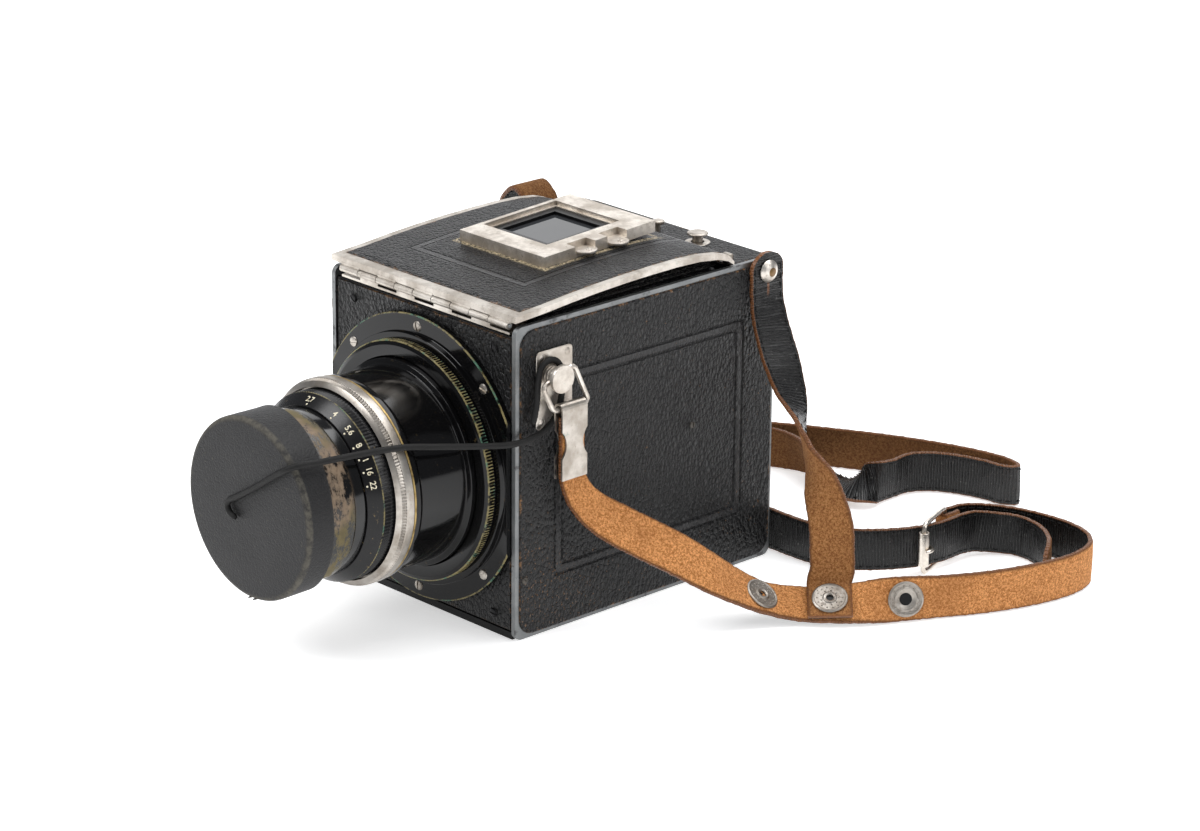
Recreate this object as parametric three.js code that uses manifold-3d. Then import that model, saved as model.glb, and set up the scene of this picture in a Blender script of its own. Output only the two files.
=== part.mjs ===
// A 1930s single-lens reflex camera: a leather-covered metal box with a fast lens in a focusing
// mount, a sprung hood lid on top, a leather lens cap on a cord, and a neck strap.
// Millimetres, +Z up. The lens looks along -Y, +X is the plain side, and z = 0 is the base.
import * as THREE from 'three';
import Module from 'manifold-3d';
import { mergeVertices } from 'three/addons/utils/BufferGeometryUtils.js';

const wasm = await Module();
wasm.setup();

// ---------------------------------------------------------------- driving dimensions
const BODY_WIDTH = 94.5;
const BODY_DEPTH = 123;
const BODY_HEIGHT = 112;
const GAP = 0.3;                 // air left between two separate pieces
const SIDE_PLATE = 1.8;          // thickness of a side plate
const WALL = 2.6;                // thickness of the inner shell
const LENS_Z = 54.5;             // height of the lens axis
const ROUND = 48;                // facets of a large turned part

const HALF = BODY_WIDTH / 2;
const FRONT = -BODY_DEPTH / 2;
const REAR = BODY_DEPTH / 2;
const INNER = HALF - SIDE_PLATE - GAP;      // half width between the side plates
const SHELL_BOTTOM = 2.8;
const SHELL_TOP = 108.8;
const SHELL_FRONT = FRONT + 4;
const SHELL_REAR = REAR - 4;

const STRAP_WIDTH = 15.6;
const STRAP_THICK = 2;
const CORD_RADIUS = 1.15;

const HINGE = { y: FRONT + 0.2, z: BODY_HEIGHT + 0.3, radius: 1.3, bore: 0.8, left: -42, right: 44 };
const LUG = { y: -48.8, z: 94, plateFace: 48.75, loopX: 53.6 };
const MIRROR = { y: 41, z: 97.5, length: 86, width: 66, angle: 45 };
const STUD_RIGHT = { y: 54.4, z: 108.4 };
const STUD_LEFT = { y: 40, z: 99 };
const STUD_DOME_X = 51;

const camera = new THREE.Group();

// ---------------------------------------------------------------- materials
const finish = (color, roughness, metalness) => ({ color, roughness, metalness });
const BLACK_METAL = finish(0x17171a, 0.45, 0.3);
const BLACK_GLOSS = finish(0x0b0b0d, 0.12, 0.4);
const LEATHER = finish(0x1d1c1d, 0.6, 0);
const NICKEL = finish(0xb9b2a8, 0.3, 0.9);
const STEEL = finish(0x8a8c8e, 0.4, 0.8);
const BRASS = finish(0xa8873e, 0.35, 0.9);
const GLASS = finish(0x9fb0b4, 0.05, 0);
const MIRROR_GLASS = finish(0xd8dcde, 0.03, 1);
const SUEDE = finish(0xa2663a, 0.9, 0);
const CLOTH = finish(0x111111, 0.9, 0);

// ---------------------------------------------------------------- solids and booleans
function toSolid(geometry) {
  const plain = geometry.index ? geometry.clone() : geometry;
  plain.deleteAttribute('normal');
  plain.deleteAttribute('uv');
  const merged = mergeVertices(plain, 1e-4);
  const mesh = new wasm.Mesh({
    numProp: 3,
    vertProperties: new Float32Array(merged.attributes.position.array),
    triVerts: new Uint32Array(merged.index.array),
  });
  mesh.merge();
  return new wasm.Manifold(mesh);
}

function toGeometry(solid) {
  const mesh = solid.getMesh();
  const geometry = new THREE.BufferGeometry();
  const count = mesh.vertProperties.length / mesh.numProp;
  const positions = new Float32Array(count * 3);
  for (let i = 0; i < count; i += 1) {
    positions[3 * i] = mesh.vertProperties[mesh.numProp * i];
    positions[3 * i + 1] = mesh.vertProperties[mesh.numProp * i + 1];
    positions[3 * i + 2] = mesh.vertProperties[mesh.numProp * i + 2];
  }
  geometry.setAttribute('position', new THREE.BufferAttribute(positions, 3));
  geometry.setIndex(new THREE.BufferAttribute(new Uint32Array(mesh.triVerts), 1));
  geometry.computeVertexNormals();
  return geometry;
}

function cut(geometry, ...tools) {
  return toGeometry(tools.reduce((left, tool) => left.subtract(toSolid(tool)), toSolid(geometry)));
}

function join(geometry, ...others) {
  return toGeometry(others.reduce((left, other) => left.add(toSolid(other)), toSolid(geometry)));
}

function common(geometry, other) {
  return toGeometry(toSolid(geometry).intersect(toSolid(other)));
}

// A closed surface whose faces point outwards, whichever way its outline ran.
function outward(geometry) {
  const merged = mergeVertices(stripped(geometry), 1e-4);
  const p = merged.attributes.position;
  const index = [];
  for (let i = 0; i < merged.index.count; i += 3) {
    const corners = [0, 1, 2].map((k) => merged.index.getX(i + k));
    if (new Set(corners).size === 3) index.push(...corners);
  }
  const a = new THREE.Vector3();
  const b = new THREE.Vector3();
  const c = new THREE.Vector3();
  let volume = 0;
  for (let i = 0; i < index.length; i += 3) {
    a.fromBufferAttribute(p, index[i]);
    b.fromBufferAttribute(p, index[i + 1]);
    c.fromBufferAttribute(p, index[i + 2]);
    volume += a.dot(b.cross(c));
  }
  if (volume < 0) index.reverse();
  merged.setIndex(index);
  merged.computeVertexNormals();
  return merged;
}

function stripped(geometry) {
  geometry.deleteAttribute('normal');
  geometry.deleteAttribute('uv');
  return geometry;
}

function add(name, geometry, look) {
  const mesh = new THREE.Mesh(geometry, new THREE.MeshStandardMaterial(look));
  mesh.name = name;
  camera.add(mesh);
  return mesh;
}

// ---------------------------------------------------------------- basic shapes
// A box from its lowest corner to its highest.
function block(low, high) {
  const size = high.map((value, i) => value - low[i]);
  const geometry = new THREE.BoxGeometry(...size);
  return geometry.translate(...low.map((value, i) => value + size[i] / 2));
}

// A rod along one axis, from one end to the other.
function rod(axis, centre, radius, from, to, sides = 24) {
  const geometry = new THREE.CylinderGeometry(radius, radius, to - from, sides);
  if (axis === 'x') geometry.rotateZ(-Math.PI / 2);
  if (axis === 'z') geometry.rotateX(Math.PI / 2);
  const middle = (from + to) / 2;
  if (axis === 'x') return geometry.translate(middle, centre[0], centre[1]);
  if (axis === 'y') return geometry.translate(centre[0], middle, centre[1]);
  return geometry.translate(centre[0], centre[1], middle);
}

// A turned part about the lens axis: [radius, distance in front of the body] round its section.
function turned(section, sides = ROUND) {
  const points = section.map(([radius, ahead]) => new THREE.Vector2(radius, FRONT - ahead));
  points.push(points[0].clone());
  return outward(new THREE.LatheGeometry(points, sides)).translate(0, 0, LENS_Z);
}

// A profile in the YZ plane, pulled along X.
function pulledAlongX(outline, from, to) {
  const shape = new THREE.Shape(outline.map(([y, z]) => new THREE.Vector2(y, z)));
  const geometry = new THREE.ExtrudeGeometry(shape, { depth: to - from, bevelEnabled: false });
  const turn = new THREE.Matrix4().makeBasis(
    new THREE.Vector3(0, 1, 0),
    new THREE.Vector3(0, 0, 1),
    new THREE.Vector3(1, 0, 0),
  );
  return outward(geometry.applyMatrix4(turn).translate(from, 0, 0));
}

// A rectangle in the YZ plane with rounded corners, pulled along X.
function roundedPlate(y0, y1, z0, z1, radius, from, to) {
  const shape = new THREE.Shape();
  shape.moveTo(y0 + radius, z0);
  shape.lineTo(y1 - radius, z0);
  shape.absarc(y1 - radius, z0 + radius, radius, -Math.PI / 2, 0, false);
  shape.lineTo(y1, z1 - radius);
  shape.absarc(y1 - radius, z1 - radius, radius, 0, Math.PI / 2, false);
  shape.lineTo(y0 + radius, z1);
  shape.absarc(y0 + radius, z1 - radius, radius, Math.PI / 2, Math.PI, false);
  shape.lineTo(y0, z0 + radius);
  shape.absarc(y0 + radius, z0 + radius, radius, Math.PI, 1.5 * Math.PI, false);
  const outline = shape.extractPoints(4).shape.map((point) => [point.x, point.y]);
  return pulledAlongX(outline, from, to);
}

// A round wire bent into a closed loop along a curve.
function wireLoop(curve, radius, steps, sides = 8) {
  const ring = new THREE.TorusGeometry(1, 0.1, sides, steps);
  const position = ring.attributes.position;
  const frames = curve.computeFrenetFrames(steps, true);
  const offset = new THREE.Vector3();
  let vertex = 0;
  for (let j = 0; j <= sides; j += 1) {
    const around = ((j % sides) / sides) * 2 * Math.PI;
    for (let i = 0; i <= steps; i += 1) {
      const at = i % steps;
      const centre = curve.getPointAt(at / steps);
      offset.copy(frames.normals[at]).multiplyScalar(Math.cos(around) * radius);
      offset.addScaledVector(frames.binormals[at], Math.sin(around) * radius);
      position.setXYZ(vertex, centre.x + offset.x, centre.y + offset.y, centre.z + offset.z);
      vertex += 1;
    }
  }
  return outward(ring);
}

function smoothPath(points) {
  return new THREE.CatmullRomCurve3(points.map((point) => new THREE.Vector3(...point)), false, 'centripetal');
}

// A round solid along a smooth path.
function tube(points, radius, steps) {
  const path = smoothPath(points);
  const circle = new THREE.Shape();
  circle.absarc(0, 0, radius, 0, 2 * Math.PI, false);
  const section = new THREE.Shape(circle.getPoints(8).slice(0, 8));
  return outward(new THREE.ExtrudeGeometry(section, { steps, extrudePath: path, bevelEnabled: false }));
}

// A flat strap laid through stations of [centre, direction across the strap].
function strap(stations, steps, width = STRAP_WIDTH, thick = STRAP_THICK) {
  const centres = smoothPath(stations.map(([centre]) => centre));
  const across = stations.map(([, w]) => new THREE.Vector3(...w).normalize());
  const geometry = new THREE.BoxGeometry(1, 1, 1, 1, 1, steps);
  const position = geometry.attributes.position;
  for (let i = 0; i < position.count; i += 1) {
    const t = THREE.MathUtils.clamp(position.getZ(i) + 0.5, 0, 1);
    const place = stationAt(centres, across, t);
    const point = place.centre.clone();
    point.addScaledVector(place.across, position.getX(i) * width);
    point.addScaledVector(place.normal, position.getY(i) * thick);
    position.setXYZ(i, point.x, point.y, point.z);
  }
  return outward(geometry);
}

function stationAt(centres, across, t) {
  const reach = t * (across.length - 1);
  const low = Math.min(Math.floor(reach), across.length - 2);
  const centre = centres.getPoint(t);
  const along = centres.getTangent(t);
  const side = across[low].clone().lerp(across[low + 1], reach - low);
  side.addScaledVector(along, -side.dot(along)).normalize();
  return { centre, along, across: side, normal: new THREE.Vector3().crossVectors(along, side) };
}

// ---------------------------------------------------------------- the body
function addBody() {
  const outer = block([-INNER, SHELL_FRONT, SHELL_BOTTOM], [INNER, SHELL_REAR, SHELL_TOP]);
  const chamber = block(
    [-INNER + WALL, SHELL_FRONT + WALL, SHELL_BOTTOM + WALL],
    [INNER - WALL, SHELL_REAR + 1, SHELL_TOP - WALL],
  );
  const lensHole = rod('y', [0, LENS_Z], 39.2, SHELL_FRONT - 1, SHELL_FRONT + WALL + 1, ROUND);
  const viewingHole = block([-37, -46, SHELL_TOP - WALL - 1], [37, 30, SHELL_TOP + 1]);
  const rollerAxles = [100.5, 11].map((z) => rod('x', [46, z], 1.4, -INNER - 1, -INNER + WALL + 1, 16));
  const mirrorAxle = rod('x', [MIRROR.y, MIRROR.z], 1.9, -INNER - 1, -INNER + WALL + 1, 16);
  const gate = block([-INNER + 1, 51.4, SHELL_BOTTOM + 1], [INNER - 1, 57.2, SHELL_TOP - 1]);
  const gateWindow = block([-36, 50, 22], [36, 58, 92]);
  const slideSpace = block([-INNER - 1, 53.7, 17.5], [41.5, 55.3, 98.5]);
  const stemHole = rod('z', [18, 52], 2.2, SHELL_TOP - WALL - 1, SHELL_TOP + 1, 20);
  const holes = [lensHole, viewingHole, ...rollerAxles, mirrorAxle, stemHole, gateWindow, slideSpace];
  add('body_shell', cut(join(cut(outer, chamber), gate), ...holes), BLACK_METAL);

  const base = block([-INNER, FRONT + 0.6, 0], [INNER, REAR - 0.3, SHELL_BOTTOM - GAP]);
  const bushHole = rod('z', [0, -24], 6.3, -1, SHELL_BOTTOM + 1, 24);
  add('base_plate', cut(base, bushHole), BLACK_METAL);
  const bush = rod('z', [0, -24], 6, 0.3, SHELL_BOTTOM - GAP, 24);
  add('tripod_bush', cut(bush, rod('z', [0, -24], 4.6, -1, SHELL_BOTTOM + 1, 24)), BRASS);

  const cornerRadius = 3;
  const right = roundedPlate(FRONT, REAR, 0, BODY_HEIGHT, cornerRadius, HALF - SIDE_PLATE, HALF);
  add('side_plate_right', right, STEEL);
  const left = roundedPlate(FRONT, REAR, 0, BODY_HEIGHT, cornerRadius, -HALF, -HALF + SIDE_PLATE);
  const slideSlot = block([-HALF - 1, 53.6, 17.4], [-HALF + SIDE_PLATE + 1, 55.4, 98.6]);
  const keyHole = rod('x', [10, 66], 3.4, -HALF - 1, -HALF + SIDE_PLATE + 1, 20);
  add('side_plate_left', cut(left, slideSlot, keyHole), STEEL);

  const panel = block([-INNER, FRONT + 1, SHELL_BOTTOM], [INNER, SHELL_FRONT - GAP, SHELL_TOP - 0.6]);
  const panelHole = rod('y', [0, LENS_Z], 39.2, FRONT - 1, SHELL_FRONT + 1, ROUND);
  add('front_panel', cut(panel, panelHole), BLACK_METAL);
}

function addTop() {
  const deck = block([-INNER, 41.8, SHELL_TOP + GAP], [INNER, REAR - 0.3, BODY_HEIGHT - 0.8]);
  const buttonHole = rod('z', [18, 52], 2.2, SHELL_TOP - 1, BODY_HEIGHT + 1, 20);
  const knobHole = rod('z', [-1, 51], 1.3, SHELL_TOP - 1, BODY_HEIGHT + 1, 16);
  add('rear_deck', cut(deck, buttonHole, knobHole), BLACK_METAL);

  const button = join(
    rod('z', [18, 52], 3.8, BODY_HEIGHT + 2.7, BODY_HEIGHT + 3.7, 28),
    rod('z', [18, 52], 1.9, SHELL_TOP + 0.4, BODY_HEIGHT + 3, 20),
  );
  add('release_button', button, NICKEL);
  const knob = join(
    rod('z', [-1, 51], 2.4, BODY_HEIGHT + 2.4, BODY_HEIGHT + 4, 20),
    rod('z', [-1, 51], 1, SHELL_TOP + 0.4, BODY_HEIGHT + 3, 16),
  );
  add('selector_knob', knob, NICKEL);
  add('lid_catch', block([40.6, 41.6, BODY_HEIGHT - 0.5], [44.6, 43.4, BODY_HEIGHT + 3.6]), NICKEL);

  const frame = block([-40, -50, SHELL_TOP - WALL - 4.2], [40, 36, SHELL_TOP - WALL - GAP]);
  const window = block([-35, -44, 95], [35, 28, 112]);
  const seat = block([-36.5, -45.5, SHELL_TOP - WALL - 2.4], [36.5, 29.5, 112]);
  add('screen_frame', cut(frame, window, seat), BLACK_METAL);
  const screenTop = SHELL_TOP - WALL - 0.4;
  add('ground_glass', block([-36.2, -45.2, screenTop - 1.7], [36.2, 29.2, screenTop]), GLASS);
}

// The underside of the lid, front to back; it bows up over the folded hood leather.
const LID_UNDERSIDE = [
  [FRONT, 113.8], [-47.5, 114.7], [-35, 115.8], [-23, 116.6], [-10, 117.2], [2, 117.5],
  [14, 117.6], [24.5, 117.2], [33, 116.1], [38, 114.6], [41, 112.6],
];
const LID_SHEET = 2.2;

function lidTop() {
  return LID_UNDERSIDE.map(([y, z], i) => [y, z + LID_SHEET * (i === LID_UNDERSIDE.length - 1 ? 0.6 : 1)]);
}

function addHood() {
  const lid = pulledAlongX([...LID_UNDERSIDE, ...lidTop().reverse()], -HALF, HALF);
  const window = block([-17.3, -13, 100], [10.3, 16.5, 140]);
  const knuckles = [];
  const fixedKnuckles = [];
  const count = 9;
  const pitch = (HINGE.right - HINGE.left) / count;
  for (let i = 0; i < count; i += 1) {
    const from = HINGE.left + i * pitch + GAP / 2;
    const to = from + pitch - GAP;
    const knuckle = rod('x', [HINGE.y, HINGE.z], HINGE.radius, from, to, 16);
    if (i % 2 === 0) {
      knuckles.push(knuckle, block([from, HINGE.y - 0.3, HINGE.z], [to, HINGE.y + 0.9, 114.4]));
    } else {
      fixedKnuckles.push(knuckle, block([from, HINGE.y, SHELL_TOP + GAP], [to, HINGE.y + 1, HINGE.z]));
    }
  }
  const bore = rod('x', [HINGE.y, HINGE.z], HINGE.bore, -HALF - 1, HALF + 1, 12);
  add('hood_lid', cut(join(lid, ...knuckles), window, bore), NICKEL);
  const leaf = block([HINGE.left, HINGE.y, SHELL_TOP + GAP], [HINGE.right, -50.5, SHELL_TOP + 1.1]);
  add('hinge_leaf', cut(join(leaf, ...fixedKnuckles), bore), NICKEL);
  const pin = rod('x', [HINGE.y, HINGE.z], HINGE.bore - 0.15, HINGE.left - 0.4, HINGE.right + 0.4, 12);
  add('hinge_pin', pin, STEEL);

  const under = LID_UNDERSIDE.filter(([y]) => y > -48 && y < 38).map(([y, z]) => [y, z - 0.5]);
  const pleats = pulledAlongX([[36.5, 109.2], ...under.reverse(), [-49, 114], [-49, 109.2]], -43.5, 43.5);
  add('hood_leather', cut(pleats, block([-32, -38, 100], [32, 26, 130])), LEATHER);
}

// The finder on the lid leans back a little, so it is made flat and then tipped.
function addFinder() {
  const lean = (geometry) => geometry.rotateX(0.048).translate(0, 1.3, 122.3);
  const frame = block([-21.6, -26.2, -2], [21.6, 26.2, 2.1]);
  const recess = block([-19.8, -16.8, 0.6], [12.5, 17.7, 3]);
  const step = block([-18.6, -15.6, -0.9], [11.3, 16.5, 3]);
  const opening = block([-16.5, -13.5, -3], [9.2, 14.4, 3]);
  const notches = [-7, 8].map((y) => block([16.8, y - 4.6, -0.4], [23, y + 4.6, 3]));
  add('finder_frame', lean(cut(frame, recess, step, opening, ...notches)), NICKEL);
  const mask = cut(block([-18.3, -15.3, -0.6], [11, 16.2, 0.3]), block([-15.5, -12, -3], [8, 13, 3]));
  add('finder_mask', lean(mask), BLACK_METAL);
  add('finder_glass', lean(block([-16.2, -13.2, -1.9], [8.9, 14.1, -0.9])), GLASS);
}

// ---------------------------------------------------------------- the lens
function addLens() {
  const flange = turned([
    [36.9, -11], [38.8, -11], [38.8, -0.6], [51, -0.6], [51, 2], [44.6, 2], [44.6, 4.3], [36.9, 4.3],
  ]);
  add('lens_flange', common(flange, block([-INNER, FRONT - 20, -10], [INNER, 0, 120])), BLACK_METAL);
  const focus = turned([[36.9, 4.6], [42.5, 4.6], [42.5, 7.4], [40.8, 8.1], [36.9, 8.1]], 60);
  add('focus_ring', focus, BLACK_GLOSS);
  add('lens_barrel', turned([
    [27.2, -10.5], [36.6, -10.5], [36.6, 10], [34.6, 10.6], [34.6, 30.3], [36, 32], [36, 34.7], [27.2, 34.7],
  ]), BLACK_GLOSS);
  add('nickel_ring', turned([
    [27.2, 35], [36.4, 35], [36.4, 38.2], [35.4, 39.8], [33.6, 41], [33.6, 37.5], [27.2, 37.5],
  ]), NICKEL);
  add('aperture_ring', turned([
    [27.2, 37.8], [33, 37.8], [33, 45.8], [32.4, 46.3], [29.4, 49.8], [27.2, 49.8],
  ]), BLACK_METAL);
  add('front_cell', turned([
    [22.9, 11.9], [26.9, 11.9], [26.9, 50.1], [29, 50.1], [29, 54.6], [29.6, 55.2], [29.6, 67.6],
    [28.6, 68.5], [25.6, 68.5], [22.9, 64],
  ]), BLACK_METAL);
  add('front_glass', turned([[0, 56], [12, 56.4], [22.6, 58.4], [22.6, 61], [12, 63.2], [0, 64]], 40), GLASS);
  add('iris_diaphragm', turned([[9, 37.5], [22.6, 37.5], [22.6, 38.7], [9, 38.7]], 40), STEEL);
  add('rear_cell', turned([[20.9, -11], [26.9, -11], [26.9, 11.6], [20.9, 11.6]]), BLACK_METAL);
  add('rear_glass', turned([[0, -9], [12, -8.2], [20.6, -6], [20.6, -3], [12, -1.5], [0, -1]], 40), GLASS);

  // The cap's leather skirt is shorter on the plain side than on the other.
  const cup = turned([[0, 77], [31.2, 77], [31.8, 76.4], [31.8, 54], [30.1, 54], [30.1, 75.4], [0, 75.4]]);
  const rimCutter = block([-60, 0, -60], [60, 60, 60]).rotateZ(-0.156);
  rimCutter.translate(0, FRONT - 61, LENS_Z);
  add('lens_cap', cut(cup, rimCutter), LEATHER);
}

// ---------------------------------------------------------------- mirror, shutter and back
function addInside() {
  const angle = (MIRROR.angle * Math.PI) / 180;
  const lay = (geometry) => geometry.rotateX(angle).translate(0, MIRROR.y, MIRROR.z);
  const plate = block([-MIRROR.width / 2, -MIRROR.length, -1.6], [MIRROR.width / 2, -3, -0.4]);
  const bar = rod('x', [0, 0], 1.6, -INNER + 0.4, INNER - WALL - 0.5, 16);
  const arm = block([-30, -6, -1.6], [30, 0, 0.6]);
  add('mirror_frame', lay(join(plate, bar, arm)), BLACK_METAL);
  const faceReach = MIRROR.width / 2 - 1.5;
  const face = block([-faceReach, -MIRROR.length + 1.5, -0.1], [faceReach, -8, 1.4]);
  add('mirror_glass', lay(face), MIRROR_GLASS);

  const rollers = [['curtain_roller_top', 100.5], ['curtain_roller_bottom', 11]];
  for (const [name, z] of rollers) {
    const drum = rod('x', [46, z], 3.2, -INNER + WALL + 0.6, INNER - WALL - 0.6, 20);
    add(name, join(drum, rod('x', [46, z], 1.1, -INNER + 0.4, -INNER + WALL + 1, 12)), STEEL);
  }
  const curtain = block([-40, 49.6, 14.5], [40, 50.1, 97]);
  add('shutter_curtain', cut(curtain, block([-34, 49, 52], [34, 51, 58])), CLOTH);

  const sheet = block([-43.8, 54.1, 18], [41, 54.9, 98]);
  const neck = block([-HALF - 2.6, 54.1, 40], [-43, 54.9, 76]);
  const tab = block([-HALF - 2.6, 52.9, 40], [-HALF - 1.4, 56.1, 76]);
  add('dark_slide', join(sheet, neck, tab), BLACK_METAL);
  const holder = block([-INNER, SHELL_REAR + GAP, SHELL_BOTTOM], [INNER, REAR - 0.4, SHELL_TOP]);
  const plateSpace = block([-38, SHELL_REAR - 1, 20], [38, REAR - 2.2, 94]);
  const catchHole = rod('y', [0, 102.5], 1.5, SHELL_REAR - 1, REAR + 1, 16);
  add('plate_holder', cut(holder, plateSpace, catchHole), BLACK_METAL);
  const catchPlate = block([-9, REAR, 100.2], [9, REAR + 1.1, 104.8]);
  const catchPin = rod('y', [0, 102.5], 1.2, SHELL_REAR + 0.6, REAR + 1, 16);
  add('back_catch', join(catchPlate, catchPin), NICKEL);
}

// The shutter's works stand proud of the left wall under a cover, with a winding knob and a dial.
function addShutterWorks() {
  const cover = roundedPlate(-31.7, 30, 12, BODY_HEIGHT, 4, -HALF - 10.8, -HALF - 0.5);
  const hollow = roundedPlate(-30.2, 28.5, 13.5, BODY_HEIGHT - 1.5, 3, -HALF - 9.6, -HALF);
  const knobHole = rod('x', [10, 66], 3.4, -HALF - 20, -HALF, 20);
  const dialHole = rod('x', [-14, 88], 2, -HALF - 20, -HALF, 16);
  const leverSlot = block([-HALF - 20, -20, 30], [-HALF - 5, -16, 48]);
  add('shutter_cover', cut(cover, hollow, knobHole, dialHole, leverSlot), BLACK_METAL);

  const knob = join(
    rod('x', [10, 66], 11, -HALF - 18.4, -HALF - 11.4, 36),
    rod('x', [10, 66], 3, -HALF - 12, -HALF + 1.5, 20),
    rod('x', [10, 66], 8, -HALF - 7, -HALF - 3, 24),
  );
  add('winding_knob', knob, NICKEL);
  const dial = join(
    rod('x', [-14, 88], 8.5, -HALF - 13.4, -HALF - 11.4, 32),
    rod('x', [-14, 88], 1.6, -HALF - 12, -HALF - 3, 16),
  );
  add('speed_dial', dial, NICKEL);
  const lever = join(
    block([-HALF - 13.2, -19.4, 41], [-HALF - 6, -16.6, 43.6]),
    rod('x', [-18, 42.3], 3.2, -HALF - 14.6, -HALF - 11.6, 20),
  );
  add('cocking_lever', lever, NICKEL);
}

// ---------------------------------------------------------------- lugs, studs and strap
function addLug(side, word) {
  const from = (a, b) => [Math.min(side * a, side * b), Math.max(side * a, side * b)];
  const along = (y, z, radius, a, b, sides) => rod('x', [y, z], radius, ...from(a, b), sides);
  const [x0, x1] = from(LUG.plateFace - 0.6, LUG.plateFace);
  const plate = block([x0, -53.4, 74.5], [x1, -37, 102.1]);
  const shaft = along(LUG.y, LUG.z, 3.4, LUG.plateFace - 0.4, 56.2, 28);
  const head = along(LUG.y, LUG.z, 4.9, 55.6, 57.2, 32);
  const wireBore = rod('y', [0, 0], 1.3, -8, 8, 12);
  wireBore.rotateX(0.36).translate(side * LUG.loopX, LUG.y, LUG.z - 0.1);
  const rivets = [[-50.9, 99.8], [-39.4, 99.8], [-50.9, 76.9], [-39.4, 76.9]];
  const heads = rivets.map(([y, z]) => along(y, z, 1.3, LUG.plateFace - 0.3, LUG.plateFace + 0.35, 14));
  add(`strap_lug_${word}`, cut(join(plate, shaft, head, ...heads), wireBore), NICKEL);

  const corners = [[-55, 91.6], [-41, 96.7], [-34, 82.2], [-50.2, 82]];
  add(`wire_loop_${word}`, wireLoop(roundedLoop(corners, side * LUG.loopX, 2), 0.9, 56), NICKEL);
}

// A closed loop in a plane of constant x, with its corners rounded off.
function roundedLoop(corners, x, radius) {
  const path = new THREE.CurvePath();
  const points = corners.map(([y, z]) => new THREE.Vector3(x, y, z));
  const towards = (a, b) => b.clone().sub(a).setLength(radius).add(a);
  for (let i = 0; i < points.length; i += 1) {
    const corner = points[i];
    const before = points[(i + points.length - 1) % points.length];
    const next = points[(i + 1) % points.length];
    const start = towards(corner, before);
    const end = towards(corner, next);
    path.add(new THREE.QuadraticBezierCurve3(start, corner, end));
    path.add(new THREE.LineCurve3(end, towards(next, corner)));
  }
  return path;
}

function addStuds() {
  const places = [['strap_stud_right', 1, STUD_RIGHT], ['strap_stud_left', -1, STUD_LEFT]];
  for (const [name, side, place] of places) {
    const dome = new THREE.SphereGeometry(4.2, 24, 12);
    dome.scale(0.5, 1, 1);
    dome.translate(side * STUD_DOME_X, place.y, place.z);
    const reach = [STUD_DOME_X, STUD_DOME_X + 20].map((x) => side * x).sort((a, b) => a - b);
    const outerHalf = block([reach[0], -90, 0], [reach[1], 90, 140]);
    const ends = [HALF + GAP, STUD_DOME_X + 0.4].map((x) => side * x).sort((a, b) => a - b);
    const neck = rod('x', [place.y, place.z], 1.7, ...ends, 16);
    add(name, join(common(dome, outerHalf), neck), NICKEL);
  }
}

// The clip is a strip of sheet folded over the loop's lower bar, with the strap's end inside it.
function addClip() {
  const outer = [];
  const inner = [];
  const foldZ = 82.1;
  for (let i = 0; i <= 8; i += 1) {
    const angle = (i / 8) * Math.PI;
    outer.push([LUG.loopX + 2.1 * Math.cos(angle), foldZ + 2.1 * Math.sin(angle)]);
    inner.push([LUG.loopX + 1.4 * Math.cos(angle), foldZ + 1.4 * Math.sin(angle)]);
  }
  const legs = [2.1, -2.1, -1.4, 1.4].map((reach) => [LUG.loopX + reach, 57]);
  const outline = [legs[0], ...outer, legs[1], legs[2], ...inner.reverse(), legs[3]];
  const shape = new THREE.Shape(outline.map(([x, z]) => new THREE.Vector2(x, z)));
  const length = 11.4;
  const folded = new THREE.ExtrudeGeometry(shape, { depth: length, bevelEnabled: false });
  const sleeve = outward(folded.rotateX(Math.PI / 2).translate(0, -36.4, 0));
  const waists = [-53, -31.2].map((y) => rod('x', [y, 69.5], 7.1, 40, 60, 40));
  add('strap_clip', cut(sleeve, ...waists), NICKEL);
}

// Each strap is a list of stations: where its middle runs, and the direction across it.
const UP = [0, 0, 1];
const DOWN = [0, 0, -1];
const STRAP_FRONT = [
  [[53.6, -41.6, 79], [0, 1, 0]], [[53.6, -41.6, 66], [0, 1, 0]], [[53.7, -41.4, 57], [0, 1, 0.1]],
  [[55.6, -39, 49.5], [0, 0.97, 0.25]], [[59, -34.5, 43.5], [-0.1, 0.88, 0.45]],
  [[64, -28.5, 38.5], [-0.2, 0.75, 0.62]], [[70, -21.5, 33.5], [-0.3, 0.6, 0.74]],
  [[77, -13, 27.5], [-0.38, 0.52, 0.76]], [[83, -4, 20.5], [-0.5, 0.5, 0.7]],
  [[87.5, 6, 13.6], [-0.65, 0.56, 0.5]], [[91.5, 15.5, 8.2], [-0.7, 0.6, 0.36]],
  [[98, 24, 6], [-0.64, 0.62, 0.44]], [[106, 31.5, 6], [-0.6, 0.62, 0.5]],
  [[114, 40, 6.9], [-0.5, 0.5, 0.7]], [[122, 49.3, 8], [-0.18, 0.17, 0.97]],
  [[129.5, 60.5, 8.1], UP], [[136.8, 73.5, 8.1], UP], [[142.3, 87, 8.1], UP], [[145.8, 100, 8.1], UP],
  [[146.8, 113, 8.1], UP], [[144, 123.5, 8.1], UP], [[137, 130.5, 8.1], UP], [[127, 133.5, 8.1], UP],
  [[115, 133, 8.1], UP], [[104, 129, 8.6], UP], [[96, 122.5, 9.3], UP], [[91.6, 114.5, 10.1], UP],
  [[90.7, 108, 10.1], UP], [[90.7, 104, 10.1], UP], [[91.3, 102.4, 10.1], UP],
  [[92.9, 101.8, 10.1], UP], [[94.5, 102.4, 10.1], UP], [[95.1, 104, 10.1], UP], [[94.7, 109, 10.1], UP],
];
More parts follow.
